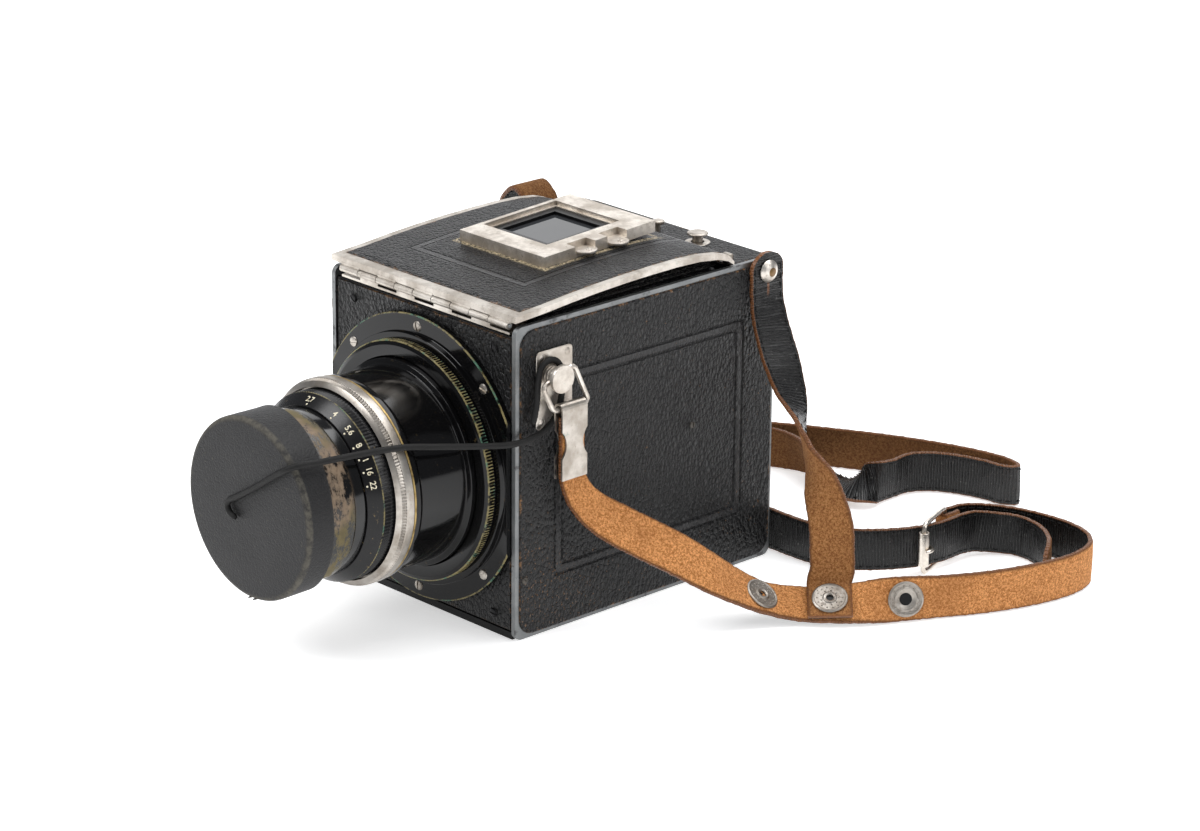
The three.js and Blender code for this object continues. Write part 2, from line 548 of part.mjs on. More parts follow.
const STRAP_REAR = [
  [[-49.6, 40, 90], [0, -1, 0]], [[-49.6, 40, 99], [0, -1, 0]], [[-49.5, 40, 107], [0, -1, 0]],
  [[-50.2, 40, 113.6], [0, -1, 0]], [[-56.8, 40, 118.8], [0, -1, 0]], [[-63.4, 40, 113.6], [0, -1, 0]],
  [[-64.2, 40, 100], [0, -1, 0]], [[-64.2, 40.3, 85], [0, -1, 0]], [[-64, 41, 68], [0, -1, 0]],
  [[-63.5, 42, 50], [0.25, -0.95, 0]], [[-62.8, 43, 34], [0.6, -0.8, 0]], [[-62.2, 44.5, 20], [0.9, -0.4, 0]],
  [[-61.8, 48, 9], [1, 0, 0]], [[-61.3, 55, 3.4], [1, 0, 0]], [[-60, 64, 1.7], [1, -0.1, 0]],
  [[-58, 74, 3.6], [0.95, -0.2, 0.25]], [[-55, 84, 6.6], [0.75, -0.3, 0.6]],
  [[-50.5, 94, 7.9], [0.4, -0.2, 0.9]], [[-44, 104.5, 8.1], UP], [[-33, 117, 8.1], UP],
  [[-18, 130, 8.1], UP], [[-1, 140.5, 8.1], UP], [[21, 152.5, 8.1], UP], [[41, 161, 8.1], UP],
  [[58, 165.8, 8.1], UP], [[69, 166.6, 8.1], UP], [[75.2, 164, 8.1], UP], [[72, 160.3, 8.1], UP],
  [[63, 159, 8.1], UP], [[52, 155.5, 8.1], UP], [[44, 150.5, 8.1], UP], [[39.8, 143, 8.3], [0, 0.05, 1]],
  [[39.8, 133, 8.3], [0.05, 0.15, 0.95]], [[38.5, 125, 8.3], [-0.05, 0.5, 0.8]],
  [[33, 121.5, 6.4], [-0.4, 0.8, 0.4]], [[24, 122.8, 4.4], [-0.15, 1, 0.08]],
  [[12, 125.8, 6.8], [0, 0.8, -0.6]], [[0, 127.5, 8], [0, 0.3, -0.95]], [[-12, 126, 8.1], DOWN],
  [[-23, 120, 8.1], DOWN], [[-30.5, 110.5, 8.1], DOWN], [[-33, 98, 8.1], DOWN],
  [[-28.5, 84, 8.1], DOWN], [[-16, 74, 8.1], DOWN], [[2, 68, 8.1], DOWN], [[22, 65.3, 8.1], DOWN],
  [[44, 64.8, 8.1], DOWN], [[56, 64.6, 8.1], DOWN], [[67, 65.5, 8.1], DOWN], [[78, 68.8, 8.6], DOWN],
  [[87, 74, 9.6], DOWN], [[93.5, 81.5, 10.1], DOWN], [[97, 90, 10.1], DOWN],
  [[98.3, 98.5, 10.1], DOWN], [[98, 106.5, 10.1], DOWN], [[98.2, 114, 9.4], DOWN],
  [[102, 120.5, 8.4], DOWN], [[109, 125, 8.1], DOWN], [[118, 124.5, 8.1], DOWN],
  [[126.5, 120.5, 8.1], DOWN], [[133.5, 114, 8.1], DOWN], [[138.5, 106, 8.1], DOWN],
];
const STRAP_SHORT = [
  [[49.6, 54.6, 115], [0, -1, 0]], [[49.6, 54.6, 106.5], [0, -1, 0]], [[50.2, 54.4, 98], [0, -1, 0]],
  [[53, 53.6, 90.5], [-0.07, -1, 0]], [[61, 50.8, 79.5], [-0.14, -0.99, 0]],
  [[69.5, 47.2, 70], [0.2, -0.98, 0]], [[77, 44, 62], [0.68, -0.73, 0]],
  [[86.5, 40.5, 51.5], [0.88, -0.47, 0]], [[96.4, 37.2, 41.6], [0.98, 0.17, 0]],
  [[101.2, 36.2, 32], [0.82, 0.57, 0]], [[101.9, 36.3, 22.5], [0.71, 0.71, 0]],
  [[101.9, 36.6, 16], [0.71, 0.71, 0]],
];
const SNAP_AT = { one: 9.75 / 33, two: 12 / 33, eyelet: 14.15 / 33, prong: 52.1 / 61 };
const SNAP_STACK = STRAP_THICK + GAP;       // the short strap lies this far above the one it snaps to
const BUCKLE = { near: [99.4, 86.2], far: [92.9, 104], bottom: 1, top: 19.2, wire: 0.9 };

// Moves a piece made round +Z to a place on a strap, with +Z along the strap's face normal.
function onStrap(stations, t) {
  const centres = smoothPath(stations.map(([centre]) => centre));
  const across = stations.map(([, w]) => new THREE.Vector3(...w).normalize());
  const place = stationAt(centres, across, t);
  const frame = new THREE.Matrix4().makeBasis(place.along, place.across, place.normal);
  frame.setPosition(place.centre);
  return frame;
}

// A two-part snap: a flat washer over the suede, a barrel through it and a cap on the grain side.
function snap(low, high, barrel, washer, cap) {
  const face = rod('z', [0, 0], washer, high, high + 0.6, 28);
  const back = cap ? rod('z', [0, 0], cap, low - 1.1, low, 28) : rod('z', [0, 0], washer, low - 0.5, low, 28);
  return join(face, rod('z', [0, 0], barrel, low - 0.2, high + 0.2, 16), back);
}

// The room a snap needs in a strap: its barrel's hole, and a seat pressed by its washers.
function snapRoom(low, high, barrel, washer) {
  const below = rod('z', [0, 0], washer, low - 4, low + 0.25, 24);
  const above = rod('z', [0, 0], washer, high - 0.25, high + 4, 24);
  return join(rod('z', [0, 0], barrel, low - 1, high + 1, 16), below, above);
}

// The short strap ends flat on the front strap, square to it, where the second snap holds both.
function shortStations() {
  const seat = onStrap(STRAP_FRONT, SNAP_AT.two);
  const along = new THREE.Vector3().setFromMatrixColumn(seat, 0);
  const landings = [8, 0, -7].map((reach) => {
    const point = new THREE.Vector3(0, reach, SNAP_STACK).applyMatrix4(seat);
    return [point.toArray(), along.toArray()];
  });
  return [...STRAP_SHORT, ...landings];
}

function addStraps() {
  const face = STRAP_THICK / 2 + 0.25;
  const one = onStrap(STRAP_FRONT, SNAP_AT.one);
  const two = onStrap(STRAP_FRONT, SNAP_AT.two);
  const eyeletAt = onStrap(STRAP_FRONT, SNAP_AT.eyelet);
  const roomOne = snapRoom(-face, face, 2.5, 6.6).applyMatrix4(one);
  const roomTwo = snapRoom(-face, face + SNAP_STACK, 2.5, 6.6).applyMatrix4(two);
  const roomEyelet = snapRoom(-face, face, 4.3, 6.6).applyMatrix4(eyeletAt);
  const studHole = (x, place) => rod('x', [place.y, place.z], 2.1, x - 4, x + 4, 16);
  const prongSlot = block([88, 100.2, 8.9], [97, 106, 11.3]);

  const frontStrap = strap(STRAP_FRONT, 78);
  add('strap_front', cut(frontStrap, roomOne, roomTwo, roomEyelet, prongSlot), SUEDE);
  const prongHole = rod('z', [0, 0], 1.5, -3, 3, 16).applyMatrix4(onStrap(STRAP_REAR, SNAP_AT.prong));
  add('strap_rear', cut(strap(STRAP_REAR, 124), prongHole, studHole(-49.6, STUD_LEFT)), SUEDE);
  const clearOfFront = strap(STRAP_FRONT, 78, STRAP_WIDTH + 0.6, STRAP_THICK + 0.5);
  const shortHole = studHole(49.6, STUD_RIGHT);
  add('strap_short', cut(strap(shortStations(), 36), clearOfFront, roomTwo, shortHole), SUEDE);

  add('snap_one', snap(-face, face, 2.1, 6.2, 5.2).applyMatrix4(one), NICKEL);
  add('snap_two', snap(-face, face + SNAP_STACK, 2.1, 6.2, 5.2).applyMatrix4(two), NICKEL);
  const eyelet = cut(snap(-face, face, 3.9, 6.2, 0), rod('z', [0, 0], 3, -6, 6, 16));
  add('strap_eyelet', eyelet.applyMatrix4(eyeletAt), NICKEL);
}

// The buckle's far bar is in the front strap's folded end; the rear strap passes behind the roller.
function addBuckle() {
  const reach = [BUCKLE.far[0] - BUCKLE.near[0], BUCKLE.far[1] - BUCKLE.near[1]];
  const length = Math.hypot(...reach);
  const corners = [[0, BUCKLE.bottom], [length, BUCKLE.bottom], [length, BUCKLE.top], [0, BUCKLE.top]];
  const frame = wireLoop(roundedLoop(corners, 0, 2), BUCKLE.wire, 48);
  frame.rotateZ(Math.atan2(-reach[0], reach[1])).translate(...BUCKLE.near, 0);
  add('buckle_frame', frame, NICKEL);
  const roller = rod('z', BUCKLE.near, 1.9, 4.4, 16.2, 20);
  add('buckle_roller', cut(roller, rod('z', BUCKLE.near, 1.25, 0, 20, 16)), NICKEL);
  const bend = [
    [93, 102.7], [94.3, 95], [96, 91.4], [98.6, 89.7], [101.6, 88.4], [102.5, 86.2], [102.3, 84.6],
  ];
  add('buckle_prong', tube(bend.map(([x, y]) => [x, y, 10.1]), 0.7, 24), BRASS);
}

// The cap's cord runs from a slit in the cap, over its rim and round the lug. The stretch that
// lies on the cap moves with it; the free stretch stays beside the cap's way off.
const CORD_ON_CAP = [
  [-4.4, -139.9, 50.6], [-7.4, -139.9, 51.6], [-8.8, -139.95, 54.2], [-7, -140.05, 56.6],
  [-3.6, -140.2, 58.4], [9, -140.5, 66.2], [18, -140.5, 72.2], [22.9, -140.1, 75.2],
  [25.2, -138.3, 76.5], [26.3, -135.6, 76.8], [26.6, -134.05, 76.75],
];
const CORD_FREE = [
  [26.7, -133.7, 76.7], [27.2, -131, 76.6], [32.4, -98.8, 75.4], [37.5, -88, 74.4], [43.5, -74, 72.8],
  [48.6, -64, 72.4], [50.4, -58, 73.2], [50.4, -52.7, 74.2], [50.4, -46.6, 78], [50.4, -43.8, 84],
  [50.4, -43.6, 92], [50.4, -44.9, 97.2], [50.4, -48.8, 99.2], [50.4, -52.8, 97.2], [50.4, -54.2, 92],
  [50.4, -54.8, 85], [50.4, -56.4, 78.2],
];

addBody();
addTop();
addHood();
addFinder();
addLens();
addInside();
addShutterWorks();
addLug(1, 'right');
addLug(-1, 'left');
addStuds();
addClip();
addStraps();
addBuckle();
add('cap_cord_end', tube(CORD_ON_CAP, CORD_RADIUS, 20), CLOTH);
add('cap_cord', tube(CORD_FREE, CORD_RADIUS, 52), CLOTH);

export default camera;
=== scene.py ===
import math
from contextlib import contextmanager

import bmesh
import bpy
from mathutils import Matrix, Vector


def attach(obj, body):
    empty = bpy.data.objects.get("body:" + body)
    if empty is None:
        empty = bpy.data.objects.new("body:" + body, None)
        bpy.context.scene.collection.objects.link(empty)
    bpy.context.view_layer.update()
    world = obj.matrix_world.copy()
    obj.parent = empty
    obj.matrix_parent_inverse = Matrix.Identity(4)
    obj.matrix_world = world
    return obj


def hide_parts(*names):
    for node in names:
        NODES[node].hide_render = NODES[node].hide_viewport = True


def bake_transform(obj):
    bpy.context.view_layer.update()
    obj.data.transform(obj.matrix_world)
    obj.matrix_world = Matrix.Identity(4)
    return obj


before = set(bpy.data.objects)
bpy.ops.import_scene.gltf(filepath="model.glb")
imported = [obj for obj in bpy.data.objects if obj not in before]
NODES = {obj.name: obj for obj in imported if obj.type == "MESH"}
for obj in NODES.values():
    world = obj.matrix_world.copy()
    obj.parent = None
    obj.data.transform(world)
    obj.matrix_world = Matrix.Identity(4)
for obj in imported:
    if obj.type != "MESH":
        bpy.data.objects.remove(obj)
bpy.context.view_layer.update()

# Sizes of pieces are in mm, in the CAD's places. The scene itself is in metres.
MM = 0.001
FRONT = -61.5  # y of the body's front face
HALF = 47.25  # half the body's width
BODY_TOP = 112.0
LENS_Z = 54.5
STRAP_WIDTH = 15.6
STRAP_THICK = 2.0


def linked(name, data):
    """A new object in the scene."""
    made = bpy.data.objects.new(name, data)
    bpy.context.collection.objects.link(made)
    return made


# ------------------------------------------------------------------ camera and light
CAMERA_PLACE = (1.0274, -0.9562, 0.5564)
CAMERA_ANGLES = (46.393, 19.675, 0.540)  # azimuth, elevation and roll, in degrees
CAMERA_LENS = 126.86


def add_camera():
    azimuth, elevation, roll = (math.radians(a) for a in CAMERA_ANGLES)
    right = Vector((math.cos(azimuth), math.sin(azimuth), 0))
    level = Vector((math.sin(azimuth), -math.cos(azimuth), 0))
    back = level * math.cos(elevation) + Vector((0, 0, math.sin(elevation)))
    up = back.cross(right)
    x_axis = right * math.cos(roll) + up * math.sin(roll)
    y_axis = up * math.cos(roll) - right * math.sin(roll)
    data = bpy.data.cameras.new("camera")
    data.sensor_width = 36
    data.lens = CAMERA_LENS
    data.clip_start = 0.05
    data.clip_end = 60
    camera = linked("camera", data)
    camera.matrix_world = Matrix.Translation(CAMERA_PLACE) @ turned(x_axis, y_axis, back)
    bpy.context.scene.camera = camera


def turned(x_axis, y_axis, z_axis):
    """The matrix that turns the axes to these three directions."""
    return Matrix((x_axis, y_axis, z_axis)).transposed().to_4x4()


def soft_light(name, place, aim, size, power):
    data = bpy.data.lights.new(name, "AREA")
    data.shape = "RECTANGLE"
    data.size, data.size_y = size
    data.energy = power
    light = linked(name, data)
    light.location = place
    light.rotation_euler = (Vector(aim) - Vector(place)).to_track_quat("-Z", "Y").to_euler()


def add_lights():
    world = bpy.data.worlds.new("studio")
    world.use_nodes = True
    background = world.node_tree.nodes["Background"]
    background.inputs["Color"].default_value = (0.9, 0.93, 1.0, 1)
    background.inputs["Strength"].default_value = 0.22
    bpy.context.scene.world = world
    bpy.context.scene.view_settings.view_transform = "Standard"
    soft_light("key", (-0.7, -1.3, 1.7), (0, 0, 0.05), (1.1, 1.1), 34)
    soft_light("side", (1.9, 0.3, 1.2), (0.05, 0, 0.04), (1.2, 1.2), 13)
    soft_light("behind", (-1.5, 1.6, 0.95), (0, 0, 0.1), (2.0, 1.2), 11)
    soft_light("top", (0.2, 0.7, 2.1), (0.05, 0.05, 0), (1.8, 1.8), 42)


# ------------------------------------------------------------------ materials
class Value:
    """A number that a material's nodes work out, so that sums of them read as sums."""

    def __init__(self, paint, socket):
        self.paint = paint
        self.socket = socket

    def __add__(self, other):
        return self.paint.math("ADD", self, other)

    def __sub__(self, other):
        return self.paint.math("SUBTRACT", self, other)

    def __rsub__(self, other):
        return self.paint.math("SUBTRACT", other, self)

    def __mul__(self, other):
        return self.paint.math("MULTIPLY", self, other)

    def __abs__(self):
        return self.paint.math("ABSOLUTE", self)


class Paint:
    """One procedural material, built node by node in the piece's own space."""

    def __init__(self, name):
        self.material = bpy.data.materials.new(name)
        self.material.use_nodes = True
        self.tree = self.material.node_tree
        self.tree.nodes.clear()
        self.place = self.node("ShaderNodeTexCoord").outputs["Object"]

    def node(self, kind, settings=None, values=(), places=range(5), **inputs):
        """A node, its inputs given by name or, where names repeat, as values at numbered places."""
        made = self.tree.nodes.new(kind)
        for key, value in (settings or {}).items():
            setattr(made, key, value)
        for place, value in zip(places, values):
            self.plug(made.inputs[place], value)
        for key, value in inputs.items():
            self.plug(made.inputs[key.replace("_", " ")], value)
        return made

    def plug(self, socket, value):
        if isinstance(value, Value):
            value = value.socket
        if isinstance(value, bpy.types.NodeSocket):
            self.tree.links.new(value, socket)
        elif isinstance(value, tuple) and socket.type == "RGBA":
            socket.default_value = (*value, 1)
        else:
            socket.default_value = value

    def math(self, operation, *values):
        return Value(self, self.node("ShaderNodeMath", {"operation": operation}, values).outputs[0])

    def most(self, a, b):
        return self.math("MAXIMUM", a, b)

    def least(self, a, b):
        return self.math("MINIMUM", a, b)

    def stretched(self, scale, place=None):
        return self.node("ShaderNodeMapping", Vector=place or self.place, Scale=scale).outputs[0]

    def noise(self, scale, detail, roughness=0.55, place=None):
        made = self.node("ShaderNodeTexNoise", Scale=scale, Detail=detail, Roughness=roughness,
                         Vector=place or self.place)
        return Value(self, made.outputs["Fac"])

    def cells(self, scale, feature, place=None):
        made = self.node("ShaderNodeTexVoronoi", {"feature": feature}, Scale=scale,
                         Vector=place or self.place)
        return Value(self, made.outputs["Distance"])

    def step(self, value, low, high, to_low=0.0, to_high=1.0):
        made = self.node("ShaderNodeMapRange", {"interpolation_type": "SMOOTHSTEP"},
                         (value, low, high, to_low, to_high))
        return Value(self, made.outputs[0])

    def blend(self, factor, a, b):
        return self.node("ShaderNodeMix", {"data_type": "RGBA"}, (factor, a, b), (0, 6, 7)).outputs[2]

    def between(self, factor, a, b):
        made = self.node("ShaderNodeMix", {"data_type": "FLOAT"}, (factor, a, b), (0, 2, 3))
        return Value(self, made.outputs[0])

    def bump(self, height, depth_mm):
        return self.node("ShaderNodeBump", Height=height, Distance=depth_mm * MM).outputs[0]

    def attribute(self, name):
        return Value(self, self.node("ShaderNodeAttribute", {"attribute_name": name}).outputs["Fac"])

    def along(self, letter):
        """Where a point lies along an axis, in mm."""
        return Value(self, self.node("ShaderNodeSeparateXYZ", Vector=self.place).outputs[letter]) * 1000

    def ahead(self):
        """How far in front of the body a point lies, in mm."""
        return FRONT - self.along("Y")

    def lens_radius(self):
        """How far from the lens's axis a point lies, in mm."""
        across, above = self.along("X"), self.along("Z") - LENS_Z
        return self.math("SQRT", across * across + above * above)

    def inside(self, plane, bounds):
        """How far inside its bounds a point lies, in mm: low and high along each of the plane's two axes."""
        gaps = []
        for letter, low, high in zip(plane, bounds[::2], bounds[1::2]):
            where = self.along(letter)
            gaps.append(self.least(where - low, high - where))
        return self.least(*gaps)

    def done(self, colour, roughness, metallic=0.0, normal=None, **more):
        shader = self.node("ShaderNodeBsdfPrincipled", Base_Color=colour, Roughness=roughness,
                           Metallic=metallic, **more)
        if normal is not None:
            self.plug(shader.inputs["Normal"], normal)
        self.node("ShaderNodeOutputMaterial", Surface=shader.outputs[0])
        return self.material


def leather_paint(name, plane=None, panel=None, grain=1.0, wear=1.0, band=None, lines=False, glue=None,
                  corner=None):
    """Black leather in long pebbles. It is rubbed brown along the bounds of its panel and has specks round
    a corner. band is the outer and inner bounds of a frame ironed smooth, with lines pressed along both
    where the mesh has none. glue is the bounds of a fitting with dried glue round it."""
    p = Paint(name)
    warp = p.noise(260 * grain, 3, 0.6)
    warps = p.node("ShaderNodeCombineXYZ", X=warp, Y=warp, Z=warp).outputs[0]
    bent = p.node("ShaderNodeVectorMath", {"operation": "MULTIPLY_ADD"},
                  (warps, (0.0016, 0.0012, -0.0010), p.stretched((1.0, 1.0, 0.62)))).outputs[0]
    pebbles = p.cells(780 * grain, "SMOOTH_F1", bent)
    creases = p.step(p.cells(780 * grain, "DISTANCE_TO_EDGE", bent), 0.0, 0.16, -0.55, 0.0)
    height = pebbles * -1.3 + p.noise(2600 * grain, 3, 0.6) * 0.12 + creases + p.noise(120, 3) * 0.8
    patches = p.step(p.noise(24, 4, 0.6), 0.38, 0.6, 0.0, 0.8 * wear)
    worn = p.step(p.noise(760, 4, 0.7), 0.655, 0.70) * patches
    if corner:
        far = abs(p.along("Y") - corner[0]) + abs(p.along("Z") - corner[1])
        specks = p.step(p.noise(900, 3, 0.7), 0.60, 0.66) * p.step(far, 12, 46, 0.9, 0.0)
        worn = p.most(worn, specks)
    if panel:
        reach = p.noise(190, 6, 0.78) * 6.0 - 2.75 - p.inside(plane, panel)
        rim = p.step(reach, -0.2, 0.7) * (0.9 * wear)
        worn = p.most(worn, rim * p.step(p.noise(800, 3), 0.36, 0.6))
    smooth = 0.0
    if band:
        outer, inner = (p.inside(plane, bounds) for bounds in band)
        smooth = p.step(outer, 0.1, 0.5) * p.step(inner, -0.5, -0.1, 1.0, 0.0)
        height = height * (smooth * -0.75 + 1.0)
        if lines:
            for inside in (outer, inner):
                height = height + p.step(abs(inside), 0.1925, 0.55, 1.0, 0.0) * -4.5
    black = p.blend(p.noise(90, 4), (0.003, 0.003, 0.0033), (0.009, 0.0088, 0.009))
    black = p.blend(smooth, black, (0.016, 0.0155, 0.016))
    brown = p.blend(p.noise(420, 4), (0.13, 0.055, 0.02), (0.34, 0.19, 0.085))
    colour = p.blend(worn, black, brown)
    if glue:
        outside = p.inside(plane, glue) * -1.0
        strip = p.step(outside, 0.0, 0.3) * p.step(outside, 1.2, 2.8, 1.0, 0.0)
        crumbs = strip * p.step(p.noise(950, 5, 0.8), 0.44, 0.54)
        colour = p.blend(crumbs, colour, (0.52, 0.42, 0.26))
    rough = p.between(smooth, p.between(p.noise(240, 4), 0.26, 0.42), 0.3)
    return p.done(colour, rough, normal=p.bump(height, 0.42), Specular_IOR_Level=0.3)


def suede_grain_paint(name, painted_lighting, slit=None):
    """A strap: rough tan suede on one face, ribbed black grain on the other, dark brown cut edges.
    The second argument scales the suede's colour as painted light above 1 and painted shade below 1;
    slit is (start, end) of a cut along the middle, in metres along the strap."""
    p = Paint(name)
    side, along, across = (p.attribute(word) for word in ("face_side", "along", "across"))
    place = p.node("ShaderNodeCombineXYZ", X=along, Y=across).outputs[0]
    off = abs(across)

    def ribbed(scale, detail, roughness):
        return p.noise(1.0, detail, roughness, p.stretched(scale, place))

    def shaded(*colour):
        return tuple(c * painted_lighting for c in colour)

    nap = p.noise(3000, 4, 0.75)
    grains = p.noise(1250, 4, 0.8)
    speckle = p.step(nap * 0.5 + grains, 0.60, 0.92)
    # The suede's colours, here and in its dark patches, are scaled for each strap as painted light and
    # painted shade.
    tan = p.blend(speckle, shaded(0.235, 0.083, 0.021), shaded(0.66, 0.31, 0.112))
    tan = p.blend(p.step(p.noise(48, 4, 0.6), 0.42, 0.7, 0.0, 0.4), tan, shaded(0.22, 0.082, 0.024))
    soiled = p.step(off, 6.3 * MM, 7.8 * MM) * p.step(p.noise(420, 5, 0.75), 0.3, 0.62, 0.25, 0.95)
    tan = p.blend(soiled, tan, (0.05, 0.022, 0.012))
    wave = p.math("SINE", along * 5600 + ribbed((130, 90, 1), 3, 0.6) * 9.0) * 0.5 + 0.5
    ribs = p.step(wave, 0.1, 0.75) * p.step(ribbed((520, 30, 1), 2, 0.5), 0.25, 0.6, 0.35, 1.0)
    cracks = ribbed((1900, 160, 1), 4, 0.7)
    scuffs = p.step(ribbed((220, 900, 1), 4, 0.7), 0.56, 0.7) * p.step(cracks, 0.42, 0.6)
    # The ridges of the ribs are painted lighter than their hollows, as painted highlights; the grey scuffs
    # on the ridges below are wear.
    black = p.blend(ribs, (0.002, 0.002, 0.002), (0.016, 0.0155, 0.0155))
    black = p.blend(scuffs * ribs * 0.4, black, (0.30, 0.29, 0.27))
    is_suede = p.step(side, 0.0, 0.5)
    brown = p.blend(p.noise(1100, 4, 0.7), (0.05, 0.018, 0.008), (0.27, 0.105, 0.035))
    colour = p.blend(p.step(abs(side), 0.55, 0.9, 1.0, 0.0), p.blend(is_suede, black, tan), brown)
    if slit:
        start, end = slit
        cut = p.step(along, start, start + MM) * p.step(along, end - 3 * MM, end, 1.0, 0.0)
        cut = cut * p.step(off, 0.35 * MM, 0.7 * MM, 1.0, 0.0)
        colour = p.blend(cut, colour, (0.16, 0.065, 0.028))
    rough = p.between(is_suede, p.between(cracks, 0.12, 0.4), 0.95)
    height = p.between(is_suede, ribs * 1.5 + cracks * 0.45, nap + grains)
    shine = p.between(is_suede, 0.36, 0.15)
    return p.done(colour, rough, normal=p.bump(height, 0.3), Specular_IOR_Level=shine,
                  Sheen_Weight=is_suede * 0.12, Sheen_Roughness=0.6, Sheen_Tint=(0.9, 0.6, 0.4))


def nickel_paint(name, rust=0.3, green=0.15, tone=0.62, rough=0.24, pits=0.5):
    """Nickel plate worn and pitted, with brown tarnish and a little verdigris."""
    p = Paint(name)
    cloud = p.noise(95, 6, 0.65)
    fine = p.noise(700, 6, 0.7)
    light = (tone * 1.06, tone * 0.99, tone * 0.90)
    bright = p.blend(p.step(cloud, 0.35, 0.65), light, (tone * 0.66, tone * 0.59, tone * 0.51))
    stain = p.step(p.noise(55, 5, 0.7), 0.5, 0.72) * rust
    dirty = p.most(p.step(fine, 0.60, 0.68, 0.0, rust), stain * p.step(fine, 0.4, 0.62))
    verdigris = p.least(p.step(p.noise(330, 5, 0.75), 0.63, 0.70) * (green * 4), 1.0)
    colour = p.blend(verdigris, p.blend(dirty, bright, (0.10, 0.062, 0.035)), (0.05, 0.20, 0.15))
    roughness = p.between(p.most(dirty, verdigris), p.between(cloud, rough, rough + 0.2), 0.75)
    height = p.step(fine, 0.55, 0.7) * -pits + cloud * 0.3
    return p.done(colour, roughness, p.between(verdigris, 1.0, 0.1), p.bump(height, 0.05))


def enamel_paint(name, gloss, brass=0.0, base=0.003, rubbed=(), tips=None):
    """Black stoving enamel, with dust and with flecks of brass showing. rubbed lists turned edges, as
    (radius, ahead) in mm, that are worn to brass and verdigris; tips is the (radius, low, high) beyond
    which, between two distances ahead, the teeth of a knurl are worn too."""
    p = Paint(name)
    haze = p.noise(60, 5, 0.6)
    black = p.blend(haze, (base, base, base * 1.05), (base * 2.0, base * 1.95, base * 2.1))
    colour = p.blend(p.step(p.noise(1900, 3), 0.70, 0.74, 0.0, 0.4), black, (0.06, 0.057, 0.05))
    rough = p.between(haze, gloss, gloss + 0.07)
    if brass:
        flecks = p.step(p.noise(380, 6, 0.75), 0.63, 0.69, 0.0, brass)
        colour = p.blend(flecks, colour, (0.36, 0.25, 0.10))
        rough = p.between(flecks, rough, 0.45)
    if rubbed:
        radius, ahead = p.lens_radius(), p.ahead()
        bare = 0.0
        for edge, place in rubbed:
            bare = p.most(bare, p.step(abs(radius - edge) + abs(ahead - place), 0.3, 0.62, 1.0, 0.0))
        if tips:
            reach, start, end = tips
            held = p.math("GREATER_THAN", ahead, start) * p.math("LESS_THAN", ahead, end)
            bare = p.most(bare, p.step(radius, reach - 0.06, reach + 0.02) * held)
        bare = bare * p.step(p.noise(330, 5, 0.7), 0.34, 0.56)
        metal = p.blend(p.step(p.noise(130, 5, 0.7), 0.5, 0.6), (0.23, 0.19, 0.085), (0.075, 0.17, 0.115))
        colour = p.blend(bare, colour, metal)
        rough = p.between(bare, rough, 0.5)
    return p.done(colour, rough, normal=p.bump(haze, 0.02), Specular_IOR_Level=0.26)


def cloth_paint(name):
    p = Paint(name)
    weave = p.noise(2400, 4, 0.7)
    colour = p.blend(weave, (0.002, 0.002, 0.002), (0.014, 0.0135, 0.013))
    return p.done(colour, 0.6, normal=p.bump(weave, 0.12), Specular_IOR_Level=0.25)


def glass_paint(name, tint=(0.5, 0.56, 0.56), clear=0.7):
    p = Paint(name)
    smear = p.noise(70, 5)
    return p.done(p.blend(smear, tint, tuple(c * 0.8 for c in tint)), p.step(smear, 0.5, 0.8, 0.02, 0.16),
                  Transmission_Weight=clear, IOR=1.5, Specular_IOR_Level=0.3)


def brass_paint(name, tone=(0.40, 0.29, 0.12)):
    p = Paint(name)
    cloud = p.noise(240, 5)
    colour = p.blend(p.step(cloud, 0.4, 0.7), tone, (0.13, 0.085, 0.035))
    return p.done(colour, p.between(cloud, 0.3, 0.55), 1.0, p.bump(cloud, 0.03))


def steel_paint(name, tone=0.3):
    """Bare grey sheet edge under worn paint."""
    p = Paint(name)
    brushed = p.noise(1.0, 4, 0.6, p.stretched((300, 60, 900)))
    grey = p.blend(p.noise(130, 5, 0.65), (tone * 0.55, tone * 0.6, tone * 0.64),
                   (tone * 1.5, tone * 1.52, tone * 1.5))
    left = p.step(p.noise(240, 5, 0.7), 0.56, 0.66, 0.0, 0.75)
    colour = p.blend(left, grey, (0.02, 0.02, 0.022))
    return p.done(colour, p.between(brushed, 0.34, 0.6), p.between(left, 0.85, 0.1), p.bump(brushed, 0.02))


def number_paint():
    p = Paint("engraved_white")
    dirt = p.step(p.noise(600, 4), 0.45, 0.7)
    return p.done(p.blend(dirt, (0.80, 0.74, 0.56), (0.45, 0.38, 0.25)), 0.6)


def front_cell_paint():
    """Enamel rubbed through to brown and olive metal where the cap slides on."""
    p = Paint("front_cell_worn")
    patches = p.noise(75, 6, 0.72, p.stretched((1, 2.4, 1)))
    ragged = p.noise(420, 6, 0.75)
    bare = p.step(p.ahead(), 53.5, 57.5) * p.step(ragged * 0.35 + patches, 0.60, 0.74)
    brown = p.blend(ragged, (0.10, 0.062, 0.035), (0.26, 0.19, 0.125))
    olive = p.blend(ragged, (0.035, 0.028, 0.008), (0.16, 0.12, 0.04))
    scuffed = p.blend(p.step(p.noise(45, 3), 0.45, 0.58), brown, olive)
    colour = p.blend(bare, (0.003, 0.003, 0.003), scuffed)
    return p.done(colour, p.between(bare, 0.1, 0.6), normal=p.bump(bare * ragged, 0.06),
                  Specular_IOR_Level=0.4)


